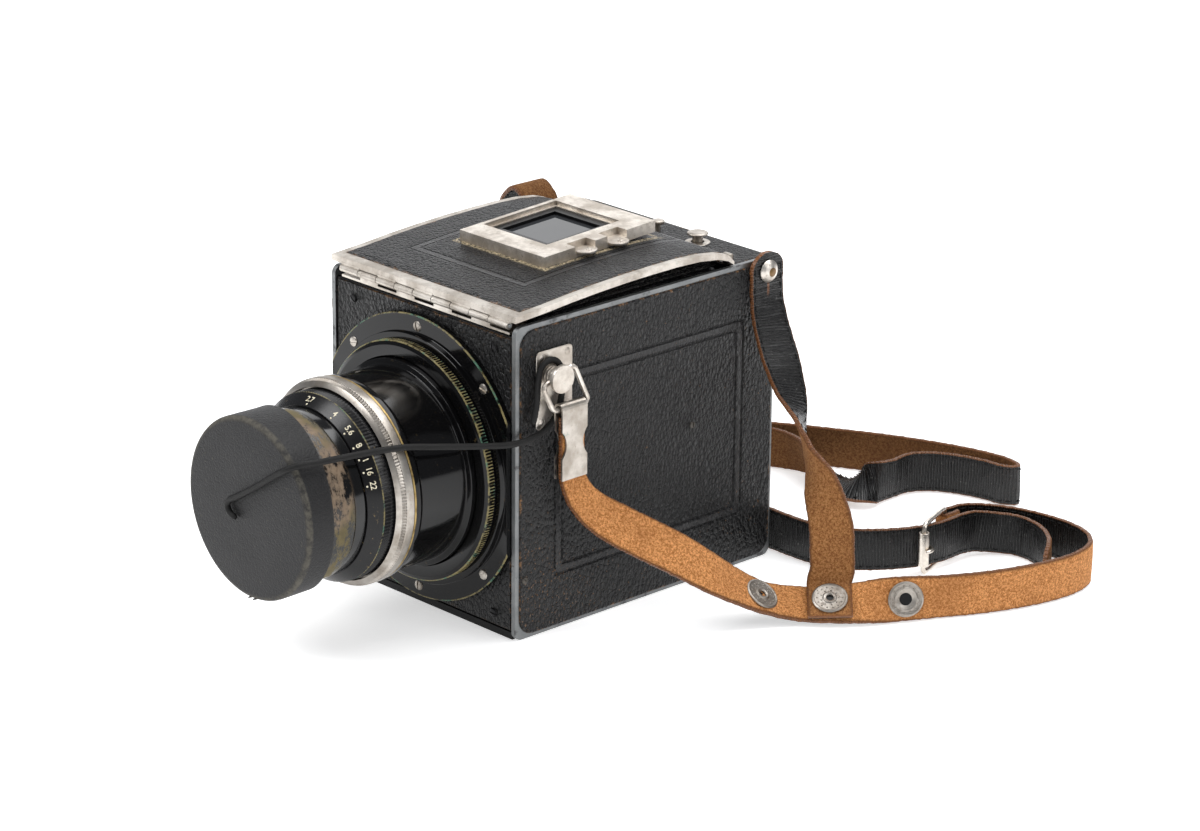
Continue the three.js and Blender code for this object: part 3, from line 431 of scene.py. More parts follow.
def cap_paint():
    """Fine black leather, worn grey round its front edge and along its mouth, with specks on its front."""
    p = Paint("cap_leather")
    creases = p.step(p.cells(600, "DISTANCE_TO_EDGE"), 0.0, 0.1, -0.4, 0.0)
    height = p.cells(1500, "SMOOTH_F1") * -1.0 + creases
    ahead = p.ahead()
    rim = p.step(ahead, 74.6, 75.6) * p.step(p.lens_radius(), 29.6, 31.1)
    mouth = p.step(p.along("X") * -0.157 + ahead, 61, 62.4, 1.0, 0.0)
    ragged = p.noise(330, 6, 0.75)
    specks = p.step(p.noise(700, 4), 0.62, 0.7) * (p.step(ahead, 75.2, 76.6) * 0.5)
    worn = p.most(p.most(rim, mouth * 0.1) * p.step(ragged, 0.30, 0.60), specks)
    black = p.blend(p.noise(70, 4), (0.005, 0.005, 0.0055), (0.0125, 0.012, 0.0125))
    colour = p.blend(worn, black, p.blend(ragged, (0.035, 0.033, 0.028), (0.125, 0.115, 0.095)))
    return p.done(colour, p.between(worn, 0.5, 0.85), normal=p.bump(height, 0.12), Specular_IOR_Level=0.3)


# ------------------------------------------------------------------ mesh helpers
@contextmanager
def edited(data):
    """A mesh's parts, edited in place."""
    work = bmesh.new()
    work.from_mesh(data)
    yield work
    work.to_mesh(data)
    work.free()


def finish_mesh(data, smooth_angle):
    with edited(data) as work:
        bmesh.ops.recalc_face_normals(work, faces=work.faces)
    data.polygons.foreach_set("use_smooth", [True] * len(data.polygons))
    data.set_sharp_from_angle(angle=math.radians(smooth_angle))


def mesh_object(name, vertices, faces, paint, smooth_angle):
    data = bpy.data.meshes.new(name)
    data.from_pydata([Vector(v) * MM for v in vertices], [], faces)
    data.validate()
    data.update()
    finish_mesh(data, smooth_angle)
    data.materials.append(paint)
    return linked(name, data)


def band_faces(rows, count, ring=False, first=0):
    """Faces between rows of points: round and round and, in a ring, from the last row to the first.
    Otherwise the two ends are closed."""
    faces = []
    for i in range(rows if ring else rows - 1):
        low, high = first + i * count, first + (i + 1) % rows * count
        for k in range(count):
            m = (k + 1) % count
            faces.append((low + k, low + m, high + m, high + k))
    if not ring:
        faces.append(tuple(range(first, first + count)))
        faces.append(tuple(range(first + (rows - 1) * count, first + rows * count)))
    return faces


def skin(name, loops, paint, smooth_angle=35, ring=False):
    """A closed mesh over loops of as many points each."""
    vertices = [point for loop in loops for point in loop]
    return mesh_object(name, vertices, band_faces(len(loops), len(loops[0]), ring), paint, smooth_angle)


def settle(piece, body, slot, *stands_for):
    """Puts a piece on its body and hides the CAD nodes that it stands for. slot is not used."""
    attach(piece, body)
    if stands_for:
        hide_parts(*stands_for)


def repaint(paint, *nodes):
    """Gives CAD nodes a finished material."""
    for node in nodes:
        if not NODES[node].material_slots:
            NODES[node].data.materials.append(paint)
        for slot in NODES[node].material_slots:
            slot.material = paint


def bevelled(piece, width):
    """Rounds a mesh's sharp edges for good."""
    with edited(piece.data) as work:
        bmesh.ops.remove_doubles(work, verts=work.verts, dist=1e-6)
        sharp = [e for e in work.edges if len(e.link_faces) == 2 and e.calc_face_angle(0) > math.radians(30)]
        bmesh.ops.bevel(work, geom=sharp, offset=width * MM, segments=3, profile=0.5, affect="EDGES",
                        clamp_overlap=True)
    finish_mesh(piece.data, 40)
    return piece


def prism(name, outline, plane, low, high, paint, bevel):
    """An outline in a plane, such as XY, pulled along the third axis, with its edges rounded."""
    def point(a, b, depth):
        return {"YZ": (depth, a, b), "XZ": (a, depth, b), "XY": (a, b, depth)}[plane]
    loops = [[point(a, b, depth) for a, b in outline] for depth in (low, high)]
    return bevelled(skin(name, loops, paint), bevel)


def box(name, low, high, paint, bevel):
    """A box from its lowest corner to its highest."""
    outline = [(low[0], low[1]), (high[0], low[1]), (high[0], high[1]), (low[0], high[1])]
    return prism(name, outline, "XY", low[2], high[2], paint, bevel)


def rounded_outline(a0, a1, b0, b1, radius, steps=6):
    corners = [(a1 - radius, b0 + radius, -90), (a1 - radius, b1 - radius, 0),
               (a0 + radius, b1 - radius, 90), (a0 + radius, b0 + radius, 180)]
    outline = []
    for a, b, start in corners:
        for i in range(steps + 1):
            angle = math.radians(start + 90 * i / steps)
            outline.append((a + radius * math.cos(angle), b + radius * math.sin(angle)))
    return outline


def softened(section, radius):
    """A closed section of (radius, along) points with each corner off the axis rounded."""
    points = [Vector(p) for p in section]
    result = []
    for i, corner in enumerate(points):
        if corner.x < 1e-6:
            result.append(tuple(corner))
            continue
        ends = []
        for other in (points[i - 1], points[(i + 1) % len(points)]):
            reach = min(radius, (other - corner).length * 0.4)
            ends.append(corner + (other - corner).normalized() * reach)
        for t in (0, 1 / 3, 2 / 3, 1):
            result.append(tuple(ends[0].lerp(corner, t).lerp(corner.lerp(ends[1], t), t)))
    return result


def sleeve(inner, outer, low, high):
    """A tube's section; a solid rod's where inner is 0."""
    return [(inner, low), (outer, low), (outer, high), (inner, high)]


def lathe(name, section, paint, segments, centre=(0, LENS_Z), axis="y", knurl=None, soft=0):
    """A turned piece. Its section is (radius, along) points, where along y means ahead of the body, and
    soft rounds the section's corners. knurl is (low, high, teeth, depth, least): between two distances
    along, and beyond a least radius, the outside is cut with teeth."""
    low, high, teeth, depth, least = knurl or (0, 0, 0, 0, math.inf)
    a, b = centre
    loops = []
    for j in range(segments):
        angle = 2 * math.pi * j / segments
        tooth = depth * (0.5 + 0.5 * math.cos(teeth * angle))
        loop = []
        for radius, along in softened(section, soft) if soft else section:
            r = radius - tooth if radius > least and low <= along <= high else radius
            c, s = r * math.cos(angle), r * math.sin(angle)
            loop.append({"x": (along, a + c, b + s), "y": (a + c, FRONT - along, b + s),
                         "z": (a + c, b + s, along)}[axis])
        loops.append(loop)
    made = skin(name, loops, paint, 32, ring=True)
    with edited(made.data) as work:
        bmesh.ops.remove_doubles(work, verts=work.verts, dist=1e-7)
        bmesh.ops.dissolve_degenerate(work, edges=work.edges, dist=1e-8)
    finish_mesh(made.data, 32)
    return made


def upright(name, section, paint, segments, at=(0, 0), **more):
    """A turned piece about a line along z."""
    return lathe(name, section, paint, segments, at, "z", **more)


def merged(name, pieces):
    """Several meshes made into one object; each keeps its own materials."""
    paints = list(dict.fromkeys(paint for piece in pieces for paint in piece.data.materials))
    work = bmesh.new()
    for piece in pieces:
        before, old = len(work.faces), piece.data
        work.from_mesh(old)
        for face in list(work.faces)[before:]:
            face.material_index = paints.index(old.materials[face.material_index])
        bpy.data.objects.remove(piece)
        bpy.data.meshes.remove(old)
    data = bpy.data.meshes.new(name)
    work.to_mesh(data)
    work.free()
    for paint in paints:
        data.materials.append(paint)
    return linked(name, data)


def moved(piece, matrix_mm):
    """Moves a mesh by a matrix given in mm, for good."""
    scale = Matrix.Scale(MM, 4)
    piece.data.transform(scale @ matrix_mm @ scale.inverted())
    return piece


def facing(place, direction, turn=0.0):
    """The matrix, in mm, that stands a piece made round +Z on a surface that faces a direction."""
    tilt = Vector(direction).to_track_quat("Z", "Y").to_matrix().to_4x4()
    return Matrix.Translation(Vector(place)) @ tilt @ Matrix.Rotation(math.radians(turn), 4, "Z")


def clipped(piece, point, normal):
    """Cuts away what lies beyond a plane and closes the cut."""
    with edited(piece.data) as work:
        whole = work.verts[:] + work.edges[:] + work.faces[:]
        result = bmesh.ops.bisect_plane(work, geom=whole, plane_co=Vector(point) * MM,
                                        plane_no=Vector(normal), clear_outer=True)
        rim = [item for item in result["geom_cut"] if isinstance(item, bmesh.types.BMEdge)]
        bmesh.ops.triangle_fill(work, edges=rim, use_beauty=True)
    finish_mesh(piece.data, 32)
    return piece


# ------------------------------------------------------------------ straps and the cap's cord
# A strap's stations are places along its middle, each with the direction across the strap there.
UP = (0, 0, 1)
DOWN = (0, 0, -1)
STRAP_FRONT = [
    ((53.6, -41.6, 79), (0, 1, 0)), ((53.6, -41.6, 66), (0, 1, 0)), ((53.7, -41.4, 57), (0, 1, 0.1)),
    ((55.6, -39, 49.5), (0, 0.97, 0.25)), ((59, -34.5, 43.5), (-0.1, 0.88, 0.45)),
    ((64, -28.5, 38.5), (-0.2, 0.75, 0.62)), ((70, -21.5, 33.5), (-0.3, 0.6, 0.74)),
    ((77, -13, 27.5), (-0.38, 0.52, 0.76)), ((83, -4, 20.5), (-0.5, 0.5, 0.7)),
    ((87.5, 6, 13.6), (-0.65, 0.56, 0.5)), ((91.5, 15.5, 8.2), (-0.7, 0.6, 0.36)),
    ((98, 24, 6), (-0.64, 0.62, 0.44)), ((106, 31.5, 6), (-0.6, 0.62, 0.5)),
    ((114, 40, 6.9), (-0.5, 0.5, 0.7)), ((122, 49.3, 8), (-0.18, 0.17, 0.97)),
    ((129.5, 60.5, 8.1), UP), ((136.8, 73.5, 8.1), UP), ((142.3, 87, 8.1), UP), ((145.8, 100, 8.1), UP),
    ((146.8, 113, 8.1), UP), ((144, 123.5, 8.1), UP), ((137, 130.5, 8.1), UP), ((127, 133.5, 8.1), UP),
    ((115, 133, 8.1), UP), ((104, 129, 8.6), UP), ((96, 122.5, 9.3), UP), ((91.6, 114.5, 10.1), UP),
    ((90.7, 108, 10.1), UP), ((90.7, 104, 10.1), UP), ((91.3, 102.4, 10.1), UP),
    ((92.9, 101.8, 10.1), UP), ((94.5, 102.4, 10.1), UP), ((95.1, 104, 10.1), UP), ((94.7, 109, 10.1), UP),
]
STRAP_REAR = [
    ((-49.6, 40, 90), (0, -1, 0)), ((-49.6, 40, 99), (0, -1, 0)), ((-49.5, 40, 107), (0, -1, 0)),
    ((-50.2, 40, 113.6), (0, -1, 0)), ((-56.8, 40, 118.8), (0, -1, 0)), ((-63.4, 40, 113.6), (0, -1, 0)),
    ((-64.2, 40, 100), (0, -1, 0)), ((-64.2, 40.3, 85), (0, -1, 0)), ((-64, 41, 68), (0, -1, 0)),
    ((-63.5, 42, 50), (0.25, -0.95, 0)), ((-62.8, 43, 34), (0.6, -0.8, 0)),
    ((-62.2, 44.5, 20), (0.9, -0.4, 0)),
    ((-61.8, 48, 9), (1, 0, 0)), ((-61.3, 55, 3.4), (1, 0, 0)), ((-60, 64, 1.7), (1, -0.1, 0)),
    ((-58, 74, 3.6), (0.95, -0.2, 0.25)), ((-55, 84, 6.6), (0.75, -0.3, 0.6)),
    ((-50.5, 94, 7.9), (0.4, -0.2, 0.9)), ((-44, 104.5, 8.1), UP), ((-33, 117, 8.1), UP),
    ((-18, 130, 8.1), UP), ((-1, 140.5, 8.1), UP), ((21, 152.5, 8.1), UP), ((41, 161, 8.1), UP),
    ((58, 165.8, 8.1), UP), ((69, 166.6, 8.1), UP), ((75.2, 164, 8.1), UP), ((72, 160.3, 8.1), UP),
    ((63, 159, 8.1), UP), ((52, 155.5, 8.1), UP), ((44, 150.5, 8.1), UP), ((39.8, 143, 8.3), (0, 0.05, 1)),
    ((39.8, 133, 8.3), (0.05, 0.15, 0.95)), ((38.5, 125, 8.3), (-0.05, 0.5, 0.8)),
    ((33, 121.5, 6.4), (-0.4, 0.8, 0.4)), ((24, 122.8, 4.4), (-0.15, 1, 0.08)),
    ((12, 125.8, 6.8), (0, 0.8, -0.6)), ((0, 127.5, 8), (0, 0.3, -0.95)), ((-12, 126, 8.1), DOWN),
    ((-23, 120, 8.1), DOWN), ((-30.5, 110.5, 8.1), DOWN), ((-33, 98, 8.1), DOWN),
    ((-28.5, 84, 8.1), DOWN), ((-16, 74, 8.1), DOWN), ((2, 68, 8.1), DOWN), ((22, 65.3, 8.1), DOWN),
    ((44, 64.8, 8.1), DOWN), ((56, 64.6, 8.1), DOWN), ((67, 65.5, 8.1), DOWN), ((78, 68.8, 8.6), DOWN),
    ((87, 74, 9.6), DOWN), ((93.5, 81.5, 10.1), DOWN), ((97, 90, 10.1), DOWN),
    ((98.3, 98.5, 10.1), DOWN), ((98, 106.5, 10.1), DOWN), ((98.2, 114, 9.4), DOWN),
    ((102, 120.5, 8.4), DOWN), ((109, 125, 8.1), DOWN), ((118, 124.5, 8.1), DOWN),
    ((126.5, 120.5, 8.1), DOWN), ((133.5, 114, 8.1), DOWN), ((138.5, 106, 8.1), DOWN),
]
STRAP_SHORT = [
    ((49.6, 54.6, 115), (0, -1, 0)), ((49.6, 54.6, 106.5), (0, -1, 0)), ((50.2, 54.4, 98), (0, -1, 0)),
    ((53, 53.6, 90.5), (-0.07, -1, 0)), ((61, 50.8, 79.5), (-0.14, -0.99, 0)),
    ((69.5, 47.2, 70), (0.2, -0.98, 0)), ((77, 44, 62), (0.68, -0.73, 0)),
    ((86.5, 40.5, 51.5), (0.88, -0.47, 0)), ((96.4, 37.2, 41.6), (0.98, 0.17, 0)),
    ((101.2, 36.2, 32), (0.82, 0.57, 0)), ((101.9, 36.3, 22.5), (0.71, 0.71, 0)),
    ((101.9, 36.6, 16), (0.71, 0.71, 0)),
]
# How far along the front strap's route its fittings sit: stations passed, of its spans.
SNAP_AT = {"one": 9.75 / 33, "two": 12 / 33, "eyelet": 14.15 / 33}
SNAP_STACK = STRAP_THICK + 0.3
CORD_ON_CAP = [
    (-4.4, -139.9, 50.6), (-7.4, -139.9, 51.6), (-8.8, -139.95, 54.2), (-7, -140.05, 56.6),
    (-3.6, -140.2, 58.4), (9, -140.5, 66.2), (18, -140.5, 72.2), (22.9, -140.1, 75.2),
    (25.2, -138.3, 76.5), (26.3, -135.6, 76.8), (26.6, -134.05, 76.75),
]
CORD_FREE = [
    (26.7, -133.7, 76.7), (27.2, -131, 76.6), (32.4, -98.8, 75.4), (37.5, -88, 74.4), (43.5, -74, 72.8),
    (48.6, -64, 72.4), (50.4, -58, 73.2), (50.4, -52.7, 74.2), (50.4, -46.6, 78), (50.4, -43.8, 84),
    (50.4, -43.6, 92), (50.4, -44.9, 97.2), (50.4, -48.8, 99.2), (50.4, -52.8, 97.2), (50.4, -54.2, 92),
    (50.4, -54.8, 85), (50.4, -56.4, 78.2),
]


class Route:
    """A smooth path through points, with a direction across it at each one."""

    def __init__(self, points, across=()):
        self.points = [Vector(p) for p in points]
        self.across = [Vector(w).normalized() for w in across]
        self.spans = len(points) - 1

    def span(self, t):
        """The span that t lies in, and how far along it."""
        reach = min(max(t, 0.0), 1.0) * self.spans
        low = min(int(reach), self.spans - 1)
        return low, reach - low

    def at(self, t):
        low, weight = self.span(t)
        p = self.points
        p1, p2 = p[low], p[low + 1]
        p0 = p[low - 1] if low > 0 else p1 * 2 - p2
        p3 = p[low + 2] if low + 2 < len(p) else p2 * 2 - p1
        d0, d1, d2 = ((b - a).length ** 0.5 for a, b in ((p0, p1), (p1, p2), (p2, p3)))
        m1 = ((p1 - p0) / d0 - (p2 - p0) / (d0 + d1) + (p2 - p1) / d1) * d1
        m2 = ((p2 - p1) / d1 - (p3 - p1) / (d1 + d2) + (p3 - p2) / d2) * d1
        c2 = p1 * -3 + p2 * 3 - m1 * 2 - m2
        c3 = p1 * 2 - p2 * 2 + m1 + m2
        return p1 + m1 * weight + c2 * weight ** 2 + c3 * weight ** 3

    def along(self, t):
        nudge = 1e-4
        return (self.at(min(t + nudge, 1)) - self.at(max(t - nudge, 0))).normalized()

    def stance(self, t):
        """Where the path is, and its along, across and normal directions."""
        along = self.along(t)
        low, weight = self.span(t)
        side = self.across[low].lerp(self.across[low + 1], weight)
        side = (side - along * side.dot(along)).normalized()
        return self.at(t), along, side, along.cross(side)

    def evenly(self, step):
        """Shares of the path about step apart, and its whole length."""
        fine = self.spans * 40
        dense = [i / fine for i in range(fine + 1)]
        places = [self.at(t) for t in dense]
        lengths = [0.0]
        for a, b in zip(places, places[1:]):
            lengths.append(lengths[-1] + (b - a).length)
        count = max(2, round(lengths[-1] / step))
        result = []
        k = 0
        for i in range(count + 1):
            want = lengths[-1] * i / count
            while k < len(lengths) - 2 and lengths[k + 1] < want:
                k += 1
            share = (want - lengths[k]) / (lengths[k + 1] - lengths[k])
            result.append(dense[k] + (dense[k + 1] - dense[k]) * share)
        return result, lengths[-1]


def strap_section():
    """Points round a strap's section: (across, normal, face side from -1 grain to 1 suede)."""
    corner, sag = 0.75, 0.12
    half, up = STRAP_WIDTH / 2 - corner, STRAP_THICK / 2
    flat = [-1 + i / 5 for i in range(11)]
    angles = (0.7, 1.2, math.pi / 2, 1.94, 2.44)
    turn = [(half + corner * math.sin(a), up * math.cos(a) - sag) for a in angles]
    section = [(half * f, up - sag * f * f, 1.0) for f in flat]
    section += [(a, n, n * 0.4) for a, n in turn]
    section += [(half * f, -up + sag * f * f, -1.0) for f in reversed(flat)]
    section += [(-a, n, n * 0.4) for a, n in reversed(turn)]
    return section


def strap_mesh(name, route, paint, tip=None, head=None, gripped=None):
    """A strap's mesh, with its length, width and face kept as attributes for its material. tip and head
    round its end and start; gripped is (end, clear, share): it is drawn in to a share of its width up to
    one distance along, and has its whole width from another."""
    ts, length = route.evenly(1.3)
    section = strap_section()
    loops, marks = [], []
    for i, t in enumerate(ts):
        centre, _, across, normal = route.stance(t)
        where = length * i / (len(ts) - 1)
        narrow = 1.0
        for rounding, left in ((tip, length - where), (head, where)):
            if rounding and left < rounding:
                narrow = max(0.25, math.sqrt(max(0.0, 1 - ((rounding - left) / rounding) ** 2)))
        if gripped:
            end, clear, least = gripped
            share = min(max((where - end) / (clear - end), 0), 1)
            narrow *= least + (1 - least) * share * share * (3 - 2 * share)
        frayed = 0.12 * math.sin(where * 1.9) * math.sin(where * 0.37 + 1.3)
        loop = []
        for a, n, face in section:
            edge = abs(a) > 0.95 * STRAP_WIDTH / 2
            fray = (frayed if a > 0 else -frayed) if edge else 0
            ripple = 0.07 * math.sin(where * 0.9 + a * 0.3)
            loop.append(centre + across * (a * narrow + fray) + normal * (n + ripple))
            marks.append((where * MM, a * MM, face))
        loops.append(loop)
    piece = skin(name, loops, paint, 60)
    for key, values in zip(("along", "across", "face_side"), zip(*marks)):
        piece.data.attributes.new(key, "FLOAT", "POINT").data.foreach_set("value", values)
    path = [tuple(route.at(t) * MM) for t in ts[::3] + ts[-1:]]
    return piece, length * MM, path


def on_strap(route, t):
    """The matrix, in mm, that puts a piece made round +Z on a strap, +Z out of its suede face."""
    centre, along, across, normal = route.stance(t)
    return Matrix.Translation(centre) @ turned(along, across, normal)


def stitches(route, paint, start, end, offset):
    """A row of thread stitches lying in a strap's grain face, near one edge."""
    vertices, faces = [], []
    for t in route.evenly(3.2)[0]:
        if not start <= t <= end:
            continue
        centre, along, across, normal = route.stance(t)
        middle = centre + across * offset - normal * (STRAP_THICK / 2 - 0.02)
        faces += band_faces(7, 6, first=len(vertices))
        for k in range(7):
            s = -1 + k / 3
            thick = 0.22 * math.sqrt(max(0.02, 1 - s * s * 0.9))
            for m in range(6):
                angle = math.radians(60 * m)
                round_it = across * math.cos(angle) + normal * math.sin(angle)
                vertices.append(middle + along * (s * 1.15) + round_it * thick)
    return mesh_object("sewn", vertices, faces, paint, 60)


def short_route():
    """The short strap, whose end lies flat across the front strap under the second snap."""
    seat = on_strap(FRONT_ROUTE, SNAP_AT["two"])
    along = seat.col[0].to_3d()
    ending = [(seat @ Vector((0, reach, SNAP_STACK)), along) for reach in (8, 0, -7)]
    return Route(*zip(*STRAP_SHORT, *ending))


FRONT_ROUTE = Route(*zip(*STRAP_FRONT))
REAR_ROUTE = Route(*zip(*STRAP_REAR))
SHORT_ROUTE = short_route()


def tube_mesh(name, points, radius, paint, step, sides, closed=False, ribs=0.0):
    """A round wire or cord along a smooth path, with its length and path; its ends are rounded off."""
    route = Route(points + points[:1] if closed else points)
    ts, length = route.evenly(step)
    if closed:
        ts = ts[:-1]
    side = (route.at(0.001) - route.at(0)).normalized().orthogonal().normalized()
    loops = []
    for i, t in enumerate(ts):
        along = route.along(t)
        side = (side - along * side.dot(along)).normalized()
        other = along.cross(side)
        r = radius * (1 + ribs * math.cos(i * math.pi))
        if not closed:
            r *= min(1.0, 0.55 + 0.3 * min(i, len(ts) - 1 - i))
        angles = [2 * math.pi * k / sides for k in range(sides)]
        loops.append([route.at(t) + side * (r * math.cos(a)) + other * (r * math.sin(a)) for a in angles])
    piece = skin(name, loops, paint, 50, ring=closed)
    return piece, length * MM, [tuple(route.at(t) * MM) for t in ts]


def snap_washer(name, place, nickel, dark, top=0.0, open_centre=False):
    """The ornamented washer over the suede, its tube, and the cap or washer under the strap, on the front
    strap at a share of its route. top is the height of what it also holds."""
    low = -STRAP_THICK / 2 - 0.25
    high = top - low
    hole = 3.0 if open_centre else 1.25
    crown = high + 0.62
    face = [(hole, crown - 0.1), (hole + 0.9, crown + 0.18), (hole + 1.3, crown - 0.22), (5.3, crown - 0.12),
            (5.6, crown + 0.12), (6.25, crown - 0.2), (6.25, high + 0.02), (hole, high + 0.02)]
    bead = [(0, crown + 0.12), (0.24, crown + 0.08), (0.42, crown - 0.35), (0, crown - 0.35)]
    if open_centre:
        rings, under_paint = ((3.95, 11), (4.75, 15)), nickel
        under = sleeve(hole, 6.1, low - 0.5, low - 0.02)
        well = sleeve(0, 2.2, high - 0.22, high - 0.1)
    else:
        rings, under_paint = ((3.1, 9), (4.4, 14)), dark
        under = [(0, low - 1.2), (3.64, low - 1.05), (5.2, low - 0.4), (5.2, low - 0.02), (0, low - 0.02)]
        well = sleeve(0, 1.3, high - 0.4, high - 0.2)
    parts = [upright("face", face, nickel, 72, soft=0.15),
             upright("barrel", sleeve(hole, hole + 0.8, low - 0.2, high + 0.3), nickel, 36),
             upright("back", under, under_paint, 48, soft=0.15)]
    for radius, count in rings:
        for i in range(count):
            angle = 2 * math.pi * i / count
            at = (radius * math.cos(angle), radius * math.sin(angle))
            parts.append(upright("bead", bead, nickel, 8, at, soft=0.1))
    parts.append(upright("well", well, dark, 24))
    if open_centre:
        lip = [(2.1, high - 0.22), (hole + 0.1, high - 0.22), (hole + 0.1, high + 0.3), (2.4, high + 0.02)]
        parts.append(upright("lip", lip, nickel, 48))
    return moved(merged(name, parts), on_strap(FRONT_ROUTE, place))


def add_straps():
    nickel = nickel_paint("snap_nickel", rust=0.7, green=0.05, tone=0.4, rough=0.34)
    bright = nickel_paint("buckle_nickel", rust=0.12, green=0.03, tone=0.88, rough=0.18)
    dark = enamel_paint("snap_cap_black", 0.3)
    thread = cloth_paint("strap_thread")
    # One suede leather for all three straps, with light and shade painted in: painted light on the front
    # strap, painted shade on the short strap, deeper painted shade on the rear strap.
    leather = suede_grain_paint("strap_leather", 1.2)
    shaded = suede_grain_paint("strap_rear_leather", 0.36)
    slitted = suede_grain_paint("strap_short_leather", 0.66, (0.0105, 0.0165))

    front = strap_mesh("strap_front_leather", FRONT_ROUTE, leather, gripped=(20, 48, 0.70))
    rear = strap_mesh("strap_rear_leather", REAR_ROUTE, shaded, tip=9)
    short = strap_mesh("strap_short_leather", SHORT_ROUTE, slitted, head=5.5)
    one = snap_washer("snap_one_washer", SNAP_AT["one"], nickel, dark)
    two = snap_washer("snap_two_washer", SNAP_AT["two"], nickel, dark, top=SNAP_STACK)
    eyelet = snap_washer("eyelet_washer", SNAP_AT["eyelet"], nickel, dark, open_centre=True)
    sewn = []
    for offset in (-6.3, 6.3):
        for route, start, end in ((REAR_ROUTE, 0.02, 0.98), (FRONT_ROUTE, 0.03, 0.84),
                                  (SHORT_ROUTE, 0.03, 0.7)):
            sewn.append(stitches(route, thread, start, end, offset))
    seams = merged("strap_stitching", sewn)
    buckle = buckle_pieces(bright)

    settle(one, "body", "nickel", "snap_one")
    settle(two, "body", "nickel", "snap_two")
    settle(eyelet, "body", "nickel", "strap_eyelet")
    settle(seams, "body", "cloth")
    for (strap, length, path), node, far_end, carried in (
            (front, "strap_front", "fitting", [one, eyelet, NODES["strap_clip"], *buckle]),
            (rear, "strap_rear", "bare", [seams]),
            (short, "strap_short", "fitting", [two])):
        settle(strap, "body", "suede", node)


def buckle_pieces(bright):
    """The wire frame, its roller and the prong. near and far are where the frame's uprights stand."""
    near, far = Vector((99.4, 86.2)), Vector((92.9, 104))
    along = (far - near).normalized()
    ring = [(*(near + along * a), b) for a, b in rounded_outline(0, (far - near).length, 1.0, 19.2, 2.0, 4)]
    frame_wire = tube_mesh("buckle_frame_wire", ring, 0.9, bright, 0.7, 14, closed=True)[0]
    roller = upright("buckle_roller_tube", sleeve(1.25, 1.95, 3.9, 16.4), bright, 48, tuple(near), soft=0.2)
    bend = [(93, 102.7), (94.3, 95), (96, 91.4), (98.6, 89.7), (101.6, 88.4), (102.5, 86.2), (102.3, 84.6)]
    prong = tube_mesh("buckle_prong_wire", [(x, y, 10.1) for x, y in bend], 0.72, bright, 0.6, 12)[0]
    settle(frame_wire, "body", "nickel", "buckle_frame")
    settle(roller, "body", "nickel", "buckle_roller")
    settle(prong, "body", "nickel", "buckle_prong")
    return [frame_wire, roller, prong]


def add_cap_cord():
    """The cord lies across the cap's front at one end and runs round the lug's post at the other."""
    cord, length, path = tube_mesh("cap_cord_braid", CORD_ON_CAP[:-1] + CORD_FREE, 1.12,
                                   cloth_paint("cord_braid"), 0.55, 12, ribs=0.035)
    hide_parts("cap_cord", "cap_cord_end")
    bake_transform(cord)


# ------------------------------------------------------------------ screws
def slotted_screw(place, direction, radius, paint, turn, height=0.7):
    slot = radius * 0.17
    crown = [(0, height), (radius * 0.5, height * 0.95), (radius * 0.86, height * 0.66), (radius, 0.05),
             (radius, -0.3), (0, -0.3)]
    parts = [clipped(upright("half", crown, paint, 40), (side * slot, 0, 0), (-side, 0, 0))
             for side in (1, -1)]
    parts.append(upright("floor", sleeve(0, radius * 0.9, -0.3, height * 0.32), paint, 32))
    return moved(merged("screw", parts), facing(place, direction, turn))


def add_screws():
    nickel = nickel_paint("screw_nickel", rust=0.5, green=0.2, tone=0.5, rough=0.3)
    green = nickel_paint("screw_verdigris", rust=0.6, green=1.0, tone=0.13, rough=0.5)
    blackened = enamel_paint("screw_blackened", 0.3, brass=0.3, base=0.008)
    circle = 47.2
    ring = []
    for i, angle in enumerate((90, 45, -45, -90, -135, 135)):
        a = math.radians(angle)
        place = (circle * math.cos(a), FRONT - 1.95, LENS_Z + circle * math.sin(a))
        ring.append(slotted_screw(place, (0, -1, 0), 1.9, nickel, 20 + 53 * i))
    settle(merged("flange_screws", ring), "body", "nickel")
    corners = [slotted_screw((x, FRONT + 0.2, z), (0, -1, 0), 1.6, blackened, 35 * i + 15)
               for i, (x, z) in enumerate(((36, 102.6), (-36, 102.6), (36, 7.4), (-36, 7.4)))]
    settle(merged("front_panel_screws", corners), "body", "nickel")
    side = [slotted_screw((HALF + 0.65, y, z), (1, 0, 0), 1.3, green, 40 * i)
            for i, (y, z) in enumerate(((21, 58.7), (-57.7, 21.6)))]
    settle(merged("side_screws", side), "body", "nickel")


# ------------------------------------------------------------------ leather covers
# Panels and frames are the low and high bounds along the two axes of their plane.
SIDE_PANEL = (-59.7, 60.4, 1.3, 110.3)
SIDE_FRAMES = ((-44.4, 46, 19.4, 92.6), (-41, 42.6, 22.8, 89.2))
SIDE_BAND = ((-43.6, 45.2, 20.2, 91.8), SIDE_FRAMES[1])
FRONT_PANEL = (-44.6, 44.6, 3.2, 107.8)
LID_PANEL = (-44.4, 44.4, -57.2, 37.4)
LID_BAND = ((-29.5, 29.5, -41.5, 35), (-26.6, 26.6, -38.6, 32.6))
FINDER_FOOT = (-21.6, 21.6, -24.6, 27)
FINDER_VIEW = (-16, 9, -12, 15)
FLAT_PANELS = (
    # name, plane, panel, corner radius, low face, high face, rounding
    ("deck_leather", "XY", (-44.4, 44.4, 42.2, 60.6), 1.5, 111.1, 111.75, 0.2),
    ("back_leather", "XZ", (-43.5, 43.5, 5, 91), 3, 61, 61.7, 0.2),
    ("shutter_cover_leather", "YZ", (-29.6, 27.9, 14, 107), 3, -HALF - 11.15, -HALF - 10.7, 0.15),
)
